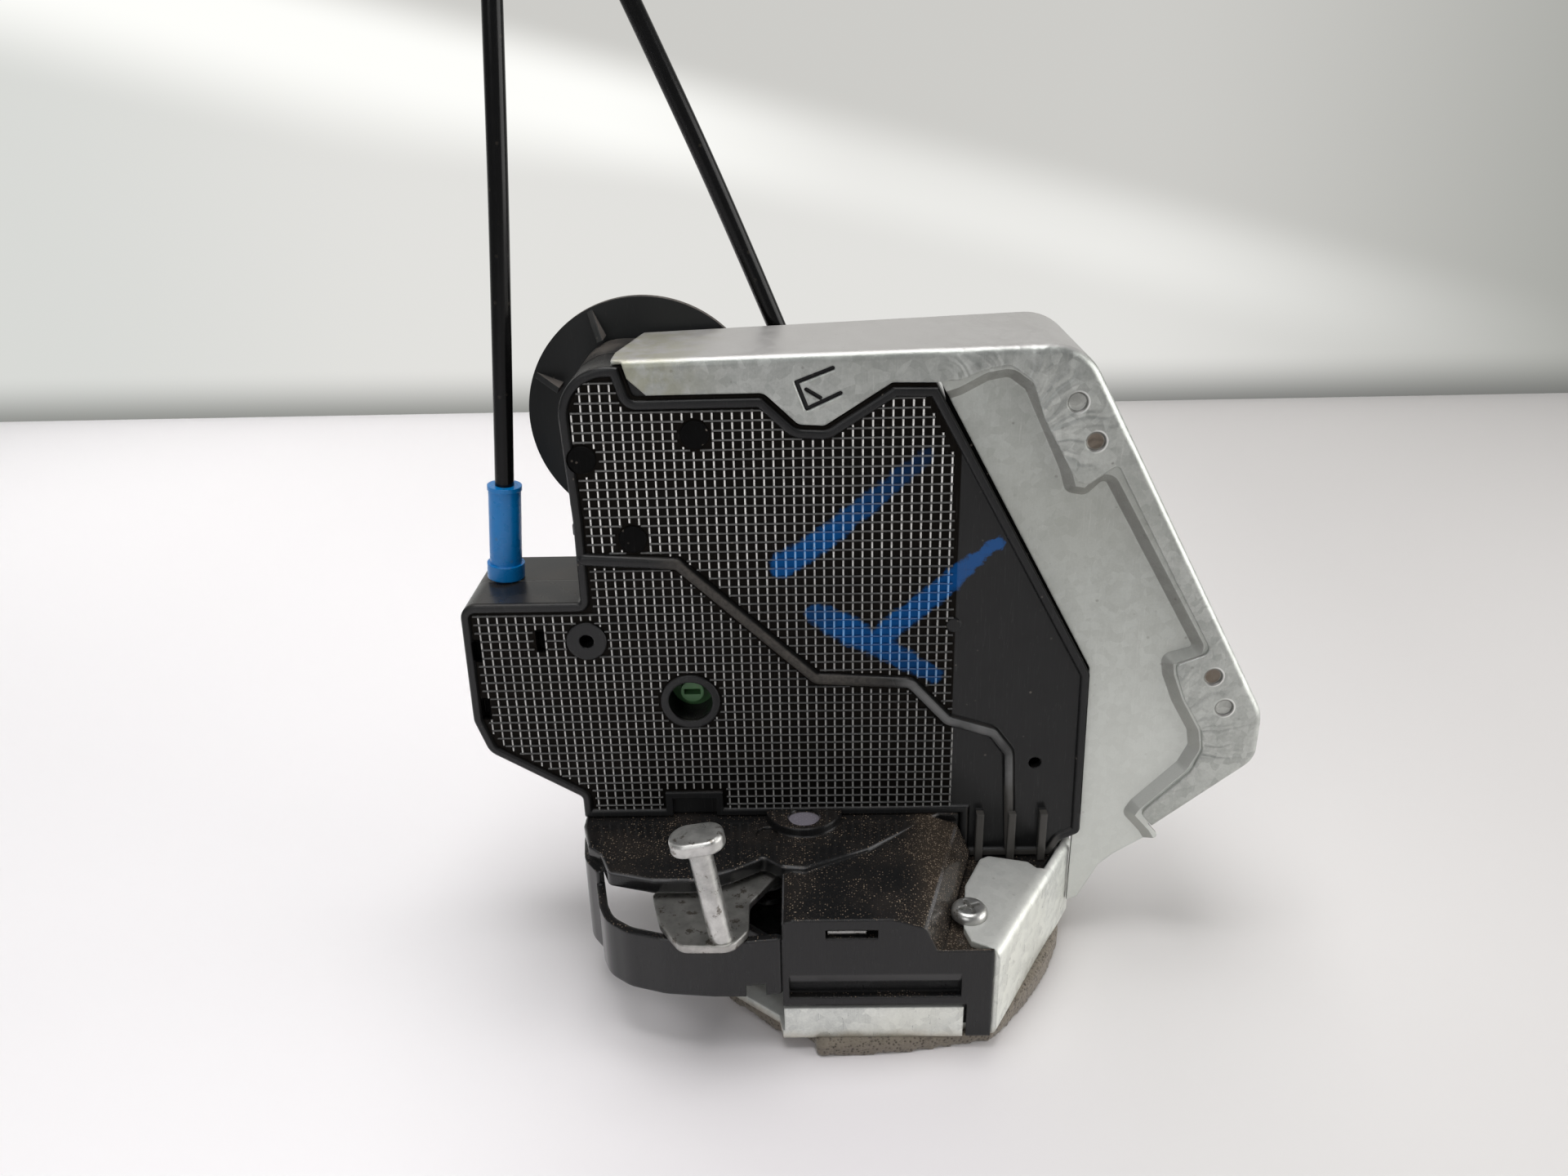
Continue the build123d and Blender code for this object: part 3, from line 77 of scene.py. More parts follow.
class Wire:                                   # one shader socket that takes + - * / and **
    def __init__(self, bench, socket):
        self.bench, self.socket = bench, socket

    def __add__(self, other): return self.bench.maths("ADD", self, other)
    def __radd__(self, other): return self.bench.maths("ADD", other, self)
    def __sub__(self, other): return self.bench.maths("SUBTRACT", self, other)
    def __rsub__(self, other): return self.bench.maths("SUBTRACT", other, self)
    def __mul__(self, other): return self.bench.maths("MULTIPLY", self, other)
    def __rmul__(self, other): return self.bench.maths("MULTIPLY", other, self)
    def __truediv__(self, other): return self.bench.maths("DIVIDE", self, other)
    def __rtruediv__(self, other): return self.bench.maths("DIVIDE", other, self)
    def __pow__(self, other): return self.bench.maths("POWER", self, other)
    def higher(self, other): return self.bench.maths("MAXIMUM", self, other)
    def clamped(self): return self.bench.maths("MINIMUM", self.higher(0.0), 1.0)
    def size(self): return self.bench.maths("ABSOLUTE", self)

    def step(self, low, high):                # soft step from 0 at low to 1 at high
        rise = ((self - low) / (high - low)).clamped()
        return rise * rise * (3.0 - 2.0 * rise)

    def fall(self, low, high):                # soft step from 1 at low to 0 at high
        return 1.0 - self.step(low, high)

    def band(self, low, full, fade, high):    # 1 from full to fade, 0 outside low to high
        return self.step(low, full) * self.fall(fade, high)

    def near(self, full, none):               # 1 within full of zero, 0 beyond none
        return self.size().fall(full, none)


class Bench:                                  # builds one material; x, y and z are in mm
    def __init__(self, name):
        self.material = bpy.data.materials.new(name)
        self.material.use_nodes = True
        self.tree = self.material.node_tree
        self.tree.nodes.clear()
        self.output = self.tree.nodes.new("ShaderNodeOutputMaterial")
        self.place = self.put("TexCoord", out="Object")
        self.x, self.y, self.z = (along / mm for along in self.split(self.place))
        self.side, self.front, self.up = self.split(self.put("TexCoord", out="Normal"))
        self.colour, self.rough, self.metal = None, 0.5, 0.0

    def feed(self, socket, value):
        if isinstance(value, Wire):
            self.tree.links.new(value.socket, socket)
        else:
            socket.default_value = value

    def opaque(self, colour):
        return colour if isinstance(colour, Wire) else (*colour, 1)

    def put(self, kind, settings=None, sockets=None, out=0):
        node = self.tree.nodes.new("ShaderNode" + kind)
        for key, value in (settings or {}).items():
            setattr(node, key, value)
        for key, value in (sockets or {}).items():
            self.feed(node.inputs[key], value)
        return Wire(self, node.outputs[out])

    def maths(self, operation, *values):
        return self.put("Math", {"operation": operation}, dict(enumerate(values)))

    def split(self, vector):
        parts = self.put("SeparateXYZ", None, {0: vector}).socket.node.outputs
        return [Wire(self, socket) for socket in parts]

    def stretched(self, scale, turn=(0, 0, 0)):
        return self.put("Mapping", None, {"Vector": self.place, "Scale": scale, "Rotation": turn})

    def noise(self, size, detail=3.0, rough=0.5, vector=None):   # size in metres
        return self.put("TexNoise", None, {"Vector": vector or self.place, "Scale": 1 / size,
                                           "Detail": detail, "Roughness": rough})

    def cells(self, size, out="Distance"):    # size in metres
        return self.put("TexVoronoi", None, {"Vector": self.place, "Scale": 1 / size}, out)

    def blend(self, mask, first, second):
        sockets = {0: mask, 6: self.opaque(first), 7: self.opaque(second)}
        return self.put("Mix", {"data_type": "RGBA"}, sockets, 2)

    def tint(self, mask, colour):             # one more layer over the colour so far
        self.colour = self.blend(mask, self.colour, colour)

    def bump(self, height, depth, under=None, strength=1.0):
        sockets = {"Height": height, "Distance": depth, "Strength": strength}
        if under:
            sockets["Normal"] = under
        return self.put("Bump", None, sockets)

    def rounded(self, radius):                # softens sharp edges of a plain solid
        return self.put("Bevel", {"samples": 4}, {"Radius": radius})

    def finish(self, normal, **steady):
        rough = self.rough.clamped() if isinstance(self.rough, Wire) else self.rough
        sockets = {"Base Color": self.opaque(self.colour), "Roughness": rough,
                   "Metallic": self.metal, "Normal": normal}
        for key, value in steady.items():
            sockets[key.replace("_", " ")] = value
        return self.shown(self.put("BsdfPrincipled", None, sockets))

    def shown(self, surface):
        self.feed(self.output.inputs[0], surface)
        return self.material


def specks(bench, size, share):               # scattered grains, share of the cells that hold one
    cell = bench.cells(size, "Color")
    grain = bench.cells(size)
    pick = bench.split(cell)[0]
    return grain.fall(0.16, 0.40) * pick.step(1 - share, 1 - share + 0.04)


def scratches(bench, scale, turn, share):     # thin straight lines
    vector = bench.stretched((scale, scale, scale * 0.03), turn)
    line = bench.noise(1.0, 1.0, 0.4, vector)
    return (line - 0.5).near(0.0, share)


markerPaint = {
    "colour": (0.006, 0.085, 0.29),
    "strokes": [                              # start, end, both half widths, both strengths; mm
        ((-21.5, 117.4), (-9.0, 126.0), 3.6, 3.6, 0.95, 0.95),
        ((-9.0, 126.0), (14.0, 145.6), 3.4, 2.2, 0.9, 0.2),
        ((32.4, 123.2), (21.5, 113.2), 1.6, 3.0, 0.95, 0.85),
        ((21.5, 113.2), (3.0, 97.0), 3.2, 3.6, 0.9, 0.9),
        ((-13.0, 104.2), (-5.0, 99.6), 3.2, 4.6, 0.6, 0.85),
        ((-5.0, 99.6), (17.5, 86.2), 4.4, 2.6, 0.9, 0.6),
    ],
    "ragged": 4.2,                            # mm that the edge of a stroke wanders
    "depth": (1.6, 2.4),                      # y where the paint ends
}


def painted(bench):                           # share of marker paint at a point
    worn = bench.noise(0.0030, 4.0, 0.7)
    fibre = bench.noise(1.0, 3.0, 0.6, bench.stretched((260, 900, 900), (0, 0.7, 0)))
    whole = None
    for start, end, halfA, halfB, strongA, strongB in markerPaint["strokes"]:
        (startX, startZ), (endX, endZ) = start, end
        runX, runZ = endX - startX, endZ - startZ
        fromX, fromZ = bench.x - startX, bench.z - startZ
        along = ((fromX * runX + fromZ * runZ) / (runX ** 2 + runZ ** 2)).clamped()
        offX, offZ = fromX - along * runX, fromZ - along * runZ
        away = (offX * offX + offZ * offZ) ** 0.5 + (worn - 0.5) * markerPaint["ragged"]
        half = halfA + (halfB - halfA) * along
        stroke = (away / half).fall(0.62, 1.05) * (strongA + (strongB - strongA) * along)
        whole = stroke if whole is None else whole.higher(stroke)
    return whole * bench.y.fall(*markerPaint["depth"]) * (0.35 + 1.5 * fibre).clamped()


crust = {                                     # dirt on the deck, with a painted reflection in the round recess and painted highlights on the rims; places in mm
    "heapX": 21, "heapReach": 15, "heapFoot": (22, 32), "heapTone": (0.10, 0.075, 0.052),
    "grains": [(0.00062, 0.42, (0.1, 0.5)),   # size in metres, share, thickness that shows them
               (0.00042, 0.7, (0.35, 0.75))],
    "darkGrain": (0.09, 0.062, 0.042), "paleGrain": (0.27, 0.21, 0.152), "grainRough": 0.25,
    # painted reflection: a pale violet-grey oval in the round recess
    "paintedSheenPool": (-17, -4), "poolHalf": (4.6, 3.4), "poolFoot": (44, 45),
    "paintedSheenTone": (0.20, 0.185, 0.215),
    # painted highlight along rims that face partly up
    "rimSlope": 0.62, "paintedRimTone": (0.11, 0.11, 0.115),
}


def gritAndPaintedSheen(bench, cloud):                    # brown grit on what faces up, thickest to the right, with a painted reflection in the round recess and painted highlights on the rims
    patch = bench.noise(0.012, 3.0, 0.6)
    heap = ((bench.x - crust["heapX"]) / crust["heapReach"]).near(0.2, 1.0)
    heap = heap * bench.z.step(*crust["heapFoot"])
    thick = (0.22 + 0.30 * patch.step(0.40, 0.65) + 0.50 * heap).clamped()
    thick = thick * bench.up.step(-0.1, 0.6)
    coarse, fine = (specks(bench, size, share) * thick.step(*edges)
                    for size, share, edges in crust["grains"])
    grit = coarse.higher(fine)
    tone = bench.blend(bench.noise(0.0012).step(0.35, 0.65), crust["darkGrain"], crust["paleGrain"])
    bench.tint(heap * thick * 0.32, crust["heapTone"])
    bench.tint(grit, tone)
    bench.rough = bench.rough + crust["grainRough"] * grit
    # painted reflection in the round recess
    (poolX, poolY), (halfX, halfY) = crust["paintedSheenPool"], crust["poolHalf"]
    paintedSheenPool = (((bench.x - poolX) / halfX) ** 2 + ((bench.y - poolY) / halfY) ** 2).fall(0.7, 1.0)
    paintedSheenPool = paintedSheenPool * bench.z.step(*crust["poolFoot"]) * bench.up.step(0.5, 0.9)
    bench.tint(paintedSheenPool, crust["paintedSheenTone"])
    # painted highlight along rims that face partly up
    rim = (bench.up - crust["rimSlope"]).near(0.12, 0.26) * cloud.step(0.35, 0.6)
    bench.tint(rim * 0.7, crust["paintedRimTone"])
    return grit


waffleSlots = [(-101.3, 95.0), (-84.2, 97.6), (-100.8, 77.9)]
faceLook = {                                  # tones by place on the face of the case: the floor, hole and border tones are painted shade, the tail tone a painted highlight
    "floor": (0.0105, 0.0092, 0.0080), "hole": (0.001, 0.001, 0.001), "tail": (0.13, 0.13, 0.13),
    "fins": (0.085, 0.08, 0.073), "crest": (0.066, 0.059, 0.051), "border": (0.006, 0.006, 0.006),
    "holeHalf": (1.25, 3.2), "holeSoft": (0.05, 0.1),         # mm across and up
}


def paintedWaffleShade(bench):                       # painted shade: dark and dull between the ribs, and black over the slot openings
    floor = bench.x.fall(22.4, 22.8) * bench.y.band(0.85, 0.95, 1.2, 1.4)
    bench.tint(floor, faceLook["floor"])
    bench.rough = bench.rough + 0.3 * floor
    bench.metal = floor
    (halfX, halfZ), (softX, softZ) = faceLook["holeHalf"], faceLook["holeSoft"]
    # painted shade: black over each slot opening
    for slotX, slotZ in waffleSlots:
        hole = (bench.x - slotX).near(halfX, halfX + softX)
        hole = hole * (bench.z - slotZ).near(halfZ, halfZ + softZ) * bench.y.step(0.85, 0.95)
        bench.metal = bench.metal.higher(hole)
        bench.tint(hole, faceLook["hole"])


def faceDustAndGlint(bench, cloud):                   # worn and dusty crests of the ridge and the fins, and a painted highlight on the tail of the ridge
    x, y, z = bench.x, bench.y, bench.z
    crest = y.fall(0.0, 0.35) * y.step(-2.0, -1.0) * (x + 14).fall(0.0, 34) * x.step(-56, -44)
    crest = crest * z.band(72, 78, 120, 124)
    # painted highlight: the tail of the ridge is made lighter and glossier
    tail = y.fall(-0.25, -0.05) * x.step(4, 14) * z.step(45, 52)
    bench.tint(tail * (0.25 + 0.9 * cloud.step(0.35, 0.65)), faceLook["tail"])
    bench.rough = bench.rough - 0.08 * tail
    fins = y.fall(0.1, 0.4) * x.band(27, 28, 52, 54) * z.fall(50, 56)
    bench.tint(fins * (0.4 + 0.5 * cloud), faceLook["fins"])
    inland = crest * (x + z).band(48, 56, 86, 98)
    grey = bench.noise(0.0008, 3.0).step(0.3, 0.7)
    bench.tint(inland * (0.25 + 0.4 * cloud + 0.5 * grey), faceLook["crest"])
    bench.rough = bench.rough + 0.35 * inland


def borderShadeAndMarker(bench):                   # painted shade: dark, dull outer side of the border that faces right; marker paint over all
    side = bench.side.step(0.2, 0.6) * bench.z.step(42, 44)
    bench.metal = bench.metal.higher(side * 0.85)
    bench.tint(side, faceLook["border"])
    paint = painted(bench)
    bench.tint(paint * 0.9, markerPaint["colour"])
    bench.rough = bench.rough + 0.35 * side - 0.06 * paint


def mouldedPlastic(name, look):
    bench = Bench(name)
    grain = bench.noise(0.00035, 2.0)
    cloud = bench.noise(0.014, 4.0)
    dusty = specks(bench, 0.0011, look["specks"])
    film = bench.up.step(0.3, 0.95) * cloud.step(0.38, 0.72) * look["film"]
    bench.colour = bench.blend(cloud, look["colour"], look["worn"])
    bench.tint(film, look["dust"])
    bench.rough = look["gloss"] + 0.12 * (cloud - 0.5) + 0.35 * film
    if look.get("crust"):
        grain = grain + 3.0 * gritAndPaintedSheen(bench, cloud)
    bench.tint(dusty, (0.22, 0.19, 0.16))
    if look.get("face"):
        paintedWaffleShade(bench)
        faceDustAndGlint(bench, cloud)
        borderShadeAndMarker(bench)
    if look.get("flanks"):                    # dusty sides of the gussets and the hub
        flank = bench.front.near(0.3, 0.8)
        bench.tint(flank * cloud.step(0.2, 0.6) * 0.8, look["flanks"])
        bench.rough = bench.rough + 0.3 * flank
    if look.get("shoulder"):                  # grey dust on the clips at the upper left
        high = bench.x.fall(-66, -50) * bench.z.step(138, 152)
        bench.tint(high * cloud.step(0.3, 0.6) * 0.8, look["shoulder"])
    lines = scratches(bench, 1800, (0.3, 0.8, 0.2), 0.012) * look.get("scratched", 0.3)
    bench.tint(lines * 0.2, (0.10, 0.10, 0.10))
    normal = bench.bump(grain + 0.6 * dusty, 0.02 * mm, bench.rounded(look["edge"]),
                        look.get("grainy", 0.5))
    return bench.finish(normal, Specular_IOR_Level=look.get("shine", 0.3))


plasticLooks = {
    "case": {"colour": (0.0085, 0.0085, 0.009), "worn": (0.015, 0.0155, 0.016),
             "dust": (0.12, 0.10, 0.085), "film": 0.15, "specks": 0.018, "gloss": 0.24,
             "edge": 0.0007, "scratched": 0.6, "face": True},
    "rear": {"colour": (0.009, 0.009, 0.010), "worn": (0.017, 0.018, 0.019),
             "dust": (0.15, 0.13, 0.11), "film": 0.3, "specks": 0.02, "gloss": 0.30,
             "edge": 0.0005, "shoulder": (0.10, 0.088, 0.078)},
    "deck": {"colour": (0.0075, 0.0075, 0.0078), "worn": (0.013, 0.013, 0.0135),
             "dust": (0.045, 0.034, 0.026), "film": 0.25, "specks": 0.008, "gloss": 0.15,
             "edge": 0.0009, "scratched": 0.4, "grainy": 0.35, "shine": 0.4, "crust": True},
    "disc": {"colour": (0.010, 0.011, 0.011), "worn": (0.019, 0.020, 0.020),
             "dust": (0.16, 0.14, 0.12), "film": 0.25, "specks": 0.012, "gloss": 0.42,
             "edge": 0.0004, "flanks": (0.12, 0.105, 0.095)},
    "matt": {"colour": (0.002, 0.002, 0.002), "worn": (0.004, 0.004, 0.004),
             "dust": (0.05, 0.045, 0.04), "film": 0.2, "specks": 0.04, "gloss": 0.5,
             "edge": 0.0003, "shine": 0.05},
    "small": {"colour": (0.009, 0.009, 0.010), "worn": (0.016, 0.016, 0.017),
              "dust": (0.13, 0.11, 0.09), "film": 0.3, "specks": 0.03, "gloss": 0.42,
              "edge": 0.0003},
}
plastics = {key: mouldedPlastic("plastic_" + key, look) for key, look in plasticLooks.items()}


def rustSpotAndGlint(bench, at, depth):               # stained rivet head with a dark ring, and a painted highlight on the right half of its rim
    offX, offZ = bench.x - at[0], bench.z - at[1]
    away = (offX * offX + offZ * offZ) ** 0.5
    bench.tint(away.fall(1.7, 2.5) * depth, (0.15, 0.105, 0.07))
    bench.tint((away - 2.3).near(0.10, 0.32) * 0.6, (0.12, 0.11, 0.10))
    # painted highlight: the rim is lighter on its right side
    bench.tint((away - 2.75).near(0.10, 0.30) * offX.step(-2, 2) * 0.7, (0.92, 0.92, 0.90))


def foldWaves(bench, at, reach, count):       # creases where the hem turns a corner
    offX, offZ = bench.x - at[0], bench.z - at[1]
    away = (offX * offX + offZ * offZ) ** 0.5
    bent = bench.maths("ARCTAN2", offZ, offX) * count + 2.2 * bench.noise(0.013, 2.0)
    spot = bench.put("CombineXYZ", None, {0: bent, 1: away * 0.025, 2: 0.0})
    wave = bench.noise(1.0, 2.0, 0.5, spot)
    return 80.0 * wave * away.fall(reach * 0.6, reach) * away.step(3, 8)


def galvanisedSheet(name, look):
    bench = Bench(name)
    spangle = bench.split(bench.cells(0.0021, "Color"))[0]
    cloud = bench.noise(0.022, 5.0, 0.6)
    patch = bench.noise(0.0045, 4.0, 0.6)
    fine = bench.noise(0.0006, 3.0, 0.65)
    lines = scratches(bench, 900, (0.2, 0.5, 0.9), 0.005)
    lines = lines.higher(scratches(bench, 700, (1.1, 0.2, 0.3), 0.004))
    pits = specks(bench, 0.0014, 0.03)        # tiny dark pinholes
    shade = 0.16 * spangle + 0.34 * cloud + 0.26 * patch + 0.24 * fine
    bench.colour = bench.blend(shade.step(0.32, 0.68), look["dark"], look["light"])
    bench.metal = look["metal"]
    bench.tint(bench.noise(0.05, 2.0).step(0.45, 0.7) * 0.4, look["tint"])
    bench.tint(pits * 0.55, (0.10, 0.085, 0.07))
    bench.tint(lines * 0.25, (0.72, 0.72, 0.70))
    for at, depth in look.get("rust", []):
        rustSpotAndGlint(bench, at, depth)
    if look.get("top"):                       # painted shade: faces that point up get a darker, warmer tone, greyer and darker to the right
        level = bench.up.step(0.5, 0.9)
        tone = bench.blend(bench.x.step(-20, 60) * 0.35, look["top"], (0.30, 0.285, 0.28))
        bench.tint(level * 0.7, tone)
        bench.metal = look["metal"] - 0.35 * level
    if look.get("paler"):                     # brighter towards the foot
        bench.tint(0.5 * bench.z.fall(40, 125), look["paler"])
    if look.get("slopeShadeAndSoil"):                    # painted shade with a brown soiled tone on the sides of the recess
        inner = bench.front.near(0.55, 0.93) * bench.y.step(1.0, 1.4)
        bench.tint(inner * look["slopeShadeAndSoil"], (0.075, 0.062, 0.052))
    if look.get("foot"):                      # rusty line along the lower edge
        bench.tint((bench.z + bench.noise(0.004, 3.0) * 3).fall(4.5, 8.5) * 0.55, look["foot"])
    if look.get("stained"):                   # yellowed end of the lip
        end = bench.x.fall(-55, -30) * bench.noise(0.006, 4.0, 0.6).step(0.35, 0.6)
        bench.tint(end * 0.55, look["stained"])
    bench.rough = look["gloss"] + 0.06 * (spangle - 0.5) + 0.14 * (patch - 0.5) - 0.06 * lines
    height = fine * 0.5 + 0.6 * patch - 0.4 * lines - 0.8 * pits
    for fold in look.get("folds", []):
        height = height + foldWaves(bench, *fold)
    return bench.finish(bench.bump(height, 0.03 * mm, bench.rounded(look["edge"]), 0.6))


sheetLooks = {
    "shell": {"dark": (0.365, 0.378, 0.36), "light": (0.565, 0.583, 0.556),
              "tint": (0.43, 0.448, 0.412), "top": (0.47, 0.445, 0.44), "gloss": 0.38,
              "edge": 0.0009, "metal": 0.80, "stained": (0.34, 0.33, 0.21),
              "rust": [((54.4, 148.6), 0.8), ((89.8, 84.7), 0.8), ((49.4, 158.3), 0.12),
                       ((93.7, 75.5), 0.1)],               # place in mm, depth of the stain
              "folds": [((34, 150), 30, 3.4), ((78, 66), 28, 3.2)]},   # place, reach, waves
    "panel": {"dark": (0.43, 0.445, 0.415), "light": (0.555, 0.575, 0.545),
              "tint": (0.45, 0.46, 0.42), "gloss": 0.46, "edge": 0.0006, "metal": 0.60,
              "slopeShadeAndSoil": 0.85, "paler": (0.92, 0.94, 0.90)},
    "base": {"dark": (0.62, 0.64, 0.61), "light": (0.92, 0.94, 0.89),
             "tint": (0.80, 0.80, 0.70), "top": (0.40, 0.40, 0.39), "gloss": 0.34,
             "edge": 0.0010, "metal": 0.50, "foot": (0.42, 0.33, 0.21)},
}
sheets = {key: galvanisedSheet("galvanised_" + key, look) for key, look in sheetLooks.items()}


def platedSteel(name, light, gloss, stain=0.35, edge=0.0004):
    bench = Bench(name)
    cloud = bench.noise(0.006, 5.0, 0.65)
    fine = bench.noise(0.0006, 2.0)
    lines = scratches(bench, 1500, (0.2, 0.1, 0.7), 0.010)
    dark = tuple(v * 0.62 for v in light)
    bench.colour = bench.blend(cloud.step(0.3, 0.7), dark, light)
    bench.tint(bench.noise(0.0035, 4.0, 0.7).step(0.56, 0.64) * stain, (0.13, 0.11, 0.09))
    bench.rough, bench.metal = gloss + 0.16 * (cloud - 0.5), 0.85
    height = fine * 0.5 - lines * 0.6
    return bench.finish(bench.bump(height, 0.012 * mm, bench.rounded(edge), 0.5))


steels = {
    "bright": platedSteel("plated_bright", (0.66, 0.655, 0.632), 0.30, 0.8, 0.0007),
    "worn": platedSteel("plated_worn", (0.50, 0.49, 0.465), 0.30, 0.85, 0.0008),
    "zinc": platedSteel("plated_zinc", (0.60, 0.60, 0.58), 0.36),
}
brass = platedSteel("brass_turned", (0.78, 0.60, 0.30), 0.25, 0.1)


def smoothPlastic(name, colour, gloss, dirt=0.25, shine=0.5):
    bench = Bench(name)
    cloud = bench.noise(0.004, 4.0)
    lines = scratches(bench, 1300, (0.1, 0.4, 0.2), 0.010)
    bench.colour = bench.blend(cloud, tuple(v * 0.8 for v in colour), colour)
    bench.tint(specks(bench, 0.0016, 0.06) * dirt, (0.12, 0.10, 0.08))
    bench.rough = gloss + 0.15 * (cloud - 0.5)
    height = bench.noise(0.0004) - 0.4 * lines
    normal = bench.bump(height, 0.012 * mm, bench.rounded(0.0004), 0.5)
    return bench.finish(normal, Specular_IOR_Level=shine)


colours = {
    "blue": smoothPlastic("acetal_blue", (0.0, 0.215, 0.60), 0.28),
    "green": smoothPlastic("acetal_green", (0.085, 0.22, 0.085), 0.40),
    "white": smoothPlastic("acetal_white", (0.74, 0.72, 0.66), 0.42),
    "sheath": smoothPlastic("cable_sheath", (0.005, 0.005, 0.0052), 0.16, 0.15, 0.22),
    "rubber": smoothPlastic("rubber_black", (0.022, 0.022, 0.022), 0.70),
}


def foamFinish():
    bench = Bench("foam_pores")
    pores = bench.cells(0.0009)
    cloud = bench.noise(0.006, 4.0, 0.6)
    fibre = bench.noise(0.0003, 3.0, 0.7)
    streak = bench.noise(1.0, 4.0, 0.7, bench.stretched((300, 300, 1400)))
    mixed = cloud * 0.5 + 0.5 * streak
    bench.colour = bench.blend(mixed, (0.10, 0.083, 0.063), (0.30, 0.26, 0.21))
    bench.colour = bench.blend(pores.step(0.05, 0.5), (0.045, 0.035, 0.028), bench.colour)
    bench.tint(streak.step(0.56, 0.66) * 0.6, (0.05, 0.04, 0.032))
    bench.rough = 0.95
    return bench.finish(bench.bump(pores + 0.6 * fibre, 0.25 * mm, None, 0.8), Sheen_Weight=0.2)


foamMaterial = foamFinish()

finishOf = {                                  # nodes whose finish differs from their slot's
    "protector_shell": sheets["shell"], "protector_panel": sheets["panel"],
    "front_housing": plastics["case"], "rear_housing": plastics["rear"],
    "flange_disc": plastics["disc"], "outside_lever": steels["worn"],
    "lever_rivet": plastics["deck"], "blanking_plug_1": plastics["matt"],
    "blanking_plug_2": plastics["matt"], "blanking_plug_3": plastics["matt"],
}
slotFinish = {
    "galvanised": sheets["base"], "steel": steels["zinc"], "bright_steel": steels["bright"],
    "black_plastic": plastics["small"], "dusty_plastic": plastics["deck"],
    "blue_plastic": colours["blue"], "green_plastic": colours["green"],
    "white_plastic": colours["white"], "rubber_black": colours["rubber"],
    "sheath": colours["sheath"], "brass": brass, "foam": foamMaterial,
}
slotOf = {row["node"]: row["material_slot"] for row in frame["record"]["subparts"]}


def wear(piece, material):                    # one material over the whole piece
    piece.data.materials.clear()
    piece.data.materials.append(material)
    for slot in piece.material_slots:
        slot.material = material


for name, piece in nodes.items():
    wear(piece, finishOf.get(name, slotFinish[slotOf[name]]))
print("finishes:", len(bpy.data.materials))


def meshPiece(name, mesh, material):    # a plain piece of its own on the fixed body
    piece = inScene(name, mesh)
    wear(piece, material)
    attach(piece, "latch")
    return piece


def closedMesh(name, work):
    bmesh.ops.recalc_face_normals(work, faces=work.faces)
    mesh = bpy.data.meshes.new(name)
    work.to_mesh(mesh)
    work.free()
    return mesh


cables = {                                    # routes in mm, lengths in metres
    "left_cable": {
        "route": [(-93.2, 18, 134.5), (-88.9, 18, 179), (-84.9, 18, 223), (-81.5, 18, 266)],
        "length": 0.13202, "sheath": "left_sheath",
        "end": ["left_far_ferrule", "left_far_wire"]},
    "right_cable": {
        "route": [(-17.6, 41, 158), (-31.4, 41, 193), (-47.1, 41, 230), (-63.3, 41, 266)],
        "length": 0.11729, "sheath": "right_sheath",
        "end": ["right_far_ferrule", "right_far_wire"]},
}
cableRadius = 2.45 * mm


def cableCurve(name, route):
    curve = bpy.data.curves.new(name, "CURVE")
    curve.dimensions = "3D"
    spline = curve.splines.new("NURBS")
    spline.points.add(len(route) - 1)
    for point, at in zip(spline.points, route):
        point.co = (*(v * mm for v in at), 1)
    spline.order_u = 3
    spline.use_endpoint_u = True
    spline.resolution_u = 24
    curve.bevel_depth = cableRadius
    curve.bevel_resolution = 8
    curve.use_fill_caps = True
    curve.materials.append(colours["sheath"])
    return curve


for name, cable in cables.items():
    piece = inScene(name, cableCurve(name, cable["route"]))
    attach(piece, "latch")
    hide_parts(cable["sheath"])
    tuple(v * mm for v in cable["route"][0])
print("cables:", len(cables))


waffle = {                                    # fine ribs on the face of the case, mm
    "pitch": 2.4, "back": 1.05, "stepsPerPitch": 4,
    "firstColumn": -102.0, "columns": 54, "firstRow": 44.9, "rows": 52,
    "reachX": (-104.0, 26.0), "reachZ": (44.0, 168.0),
    "edge": [(-68.6, 165.6), (-60.2, 165.6), (-58.6, 158.6), (-25.6, 158.4), (-17.6, 150.6),
             (-9.6, 150.2), (1.6, 157.6), (5.0, 160.2), (13.9, 160.2), (20.7, 146.2), (21.1, 145),
             (23.4, 44.8), (-74.3, 44.8), (-74.3, 51.6), (-98.6, 67.3), (-101.4, 75.2),
             (-101.2, 105.4), (-70.2, 105.4), (-70.0, 130.0), (-71.6, 156.0)],
    "holes": [((-41.6, 152.0), 4.0), ((-69.3, 146.2), 4.0), ((-58.3, 125.4), 4.0),
              ((-72.2, 97.6), 5.4), ((-46.3, 79.5), 8.1), ((22.2, 100.5), 2.0)],
    "slots": waffleSlots, "slotHalf": (1.35, 3.1),
    "notch": (-55.4, -38.4, 43.0, 52.4),
    "ridge": [(-71.0, 120.2), (-47.5, 118.7), (-13.0, 85.8), (11.5, 84.2), (21.4, 73.0),
              (33.5, 69.1)],
    "ridgeHalf": 1.9,
}


def nearLine(point, line):
    best = math.inf
    for start, end in zip(line, line[1:]):
        start, end = Vector(start), Vector(end)
        along = (point - start).dot(end - start) / (end - start).length_squared
        best = min(best, (point - start.lerp(end, max(0.0, min(1.0, along)))).length)
    return best


def insideEdge(point, edge):
    hit = False
    for (x0, z0), (x1, z1) in zip(edge, edge[1:] + edge[:1]):
        if (z0 > point.y) != (z1 > point.y):
            hit ^= point.x < x0 + (point.y - z0) * (x1 - x0) / (z1 - z0)
    return hit


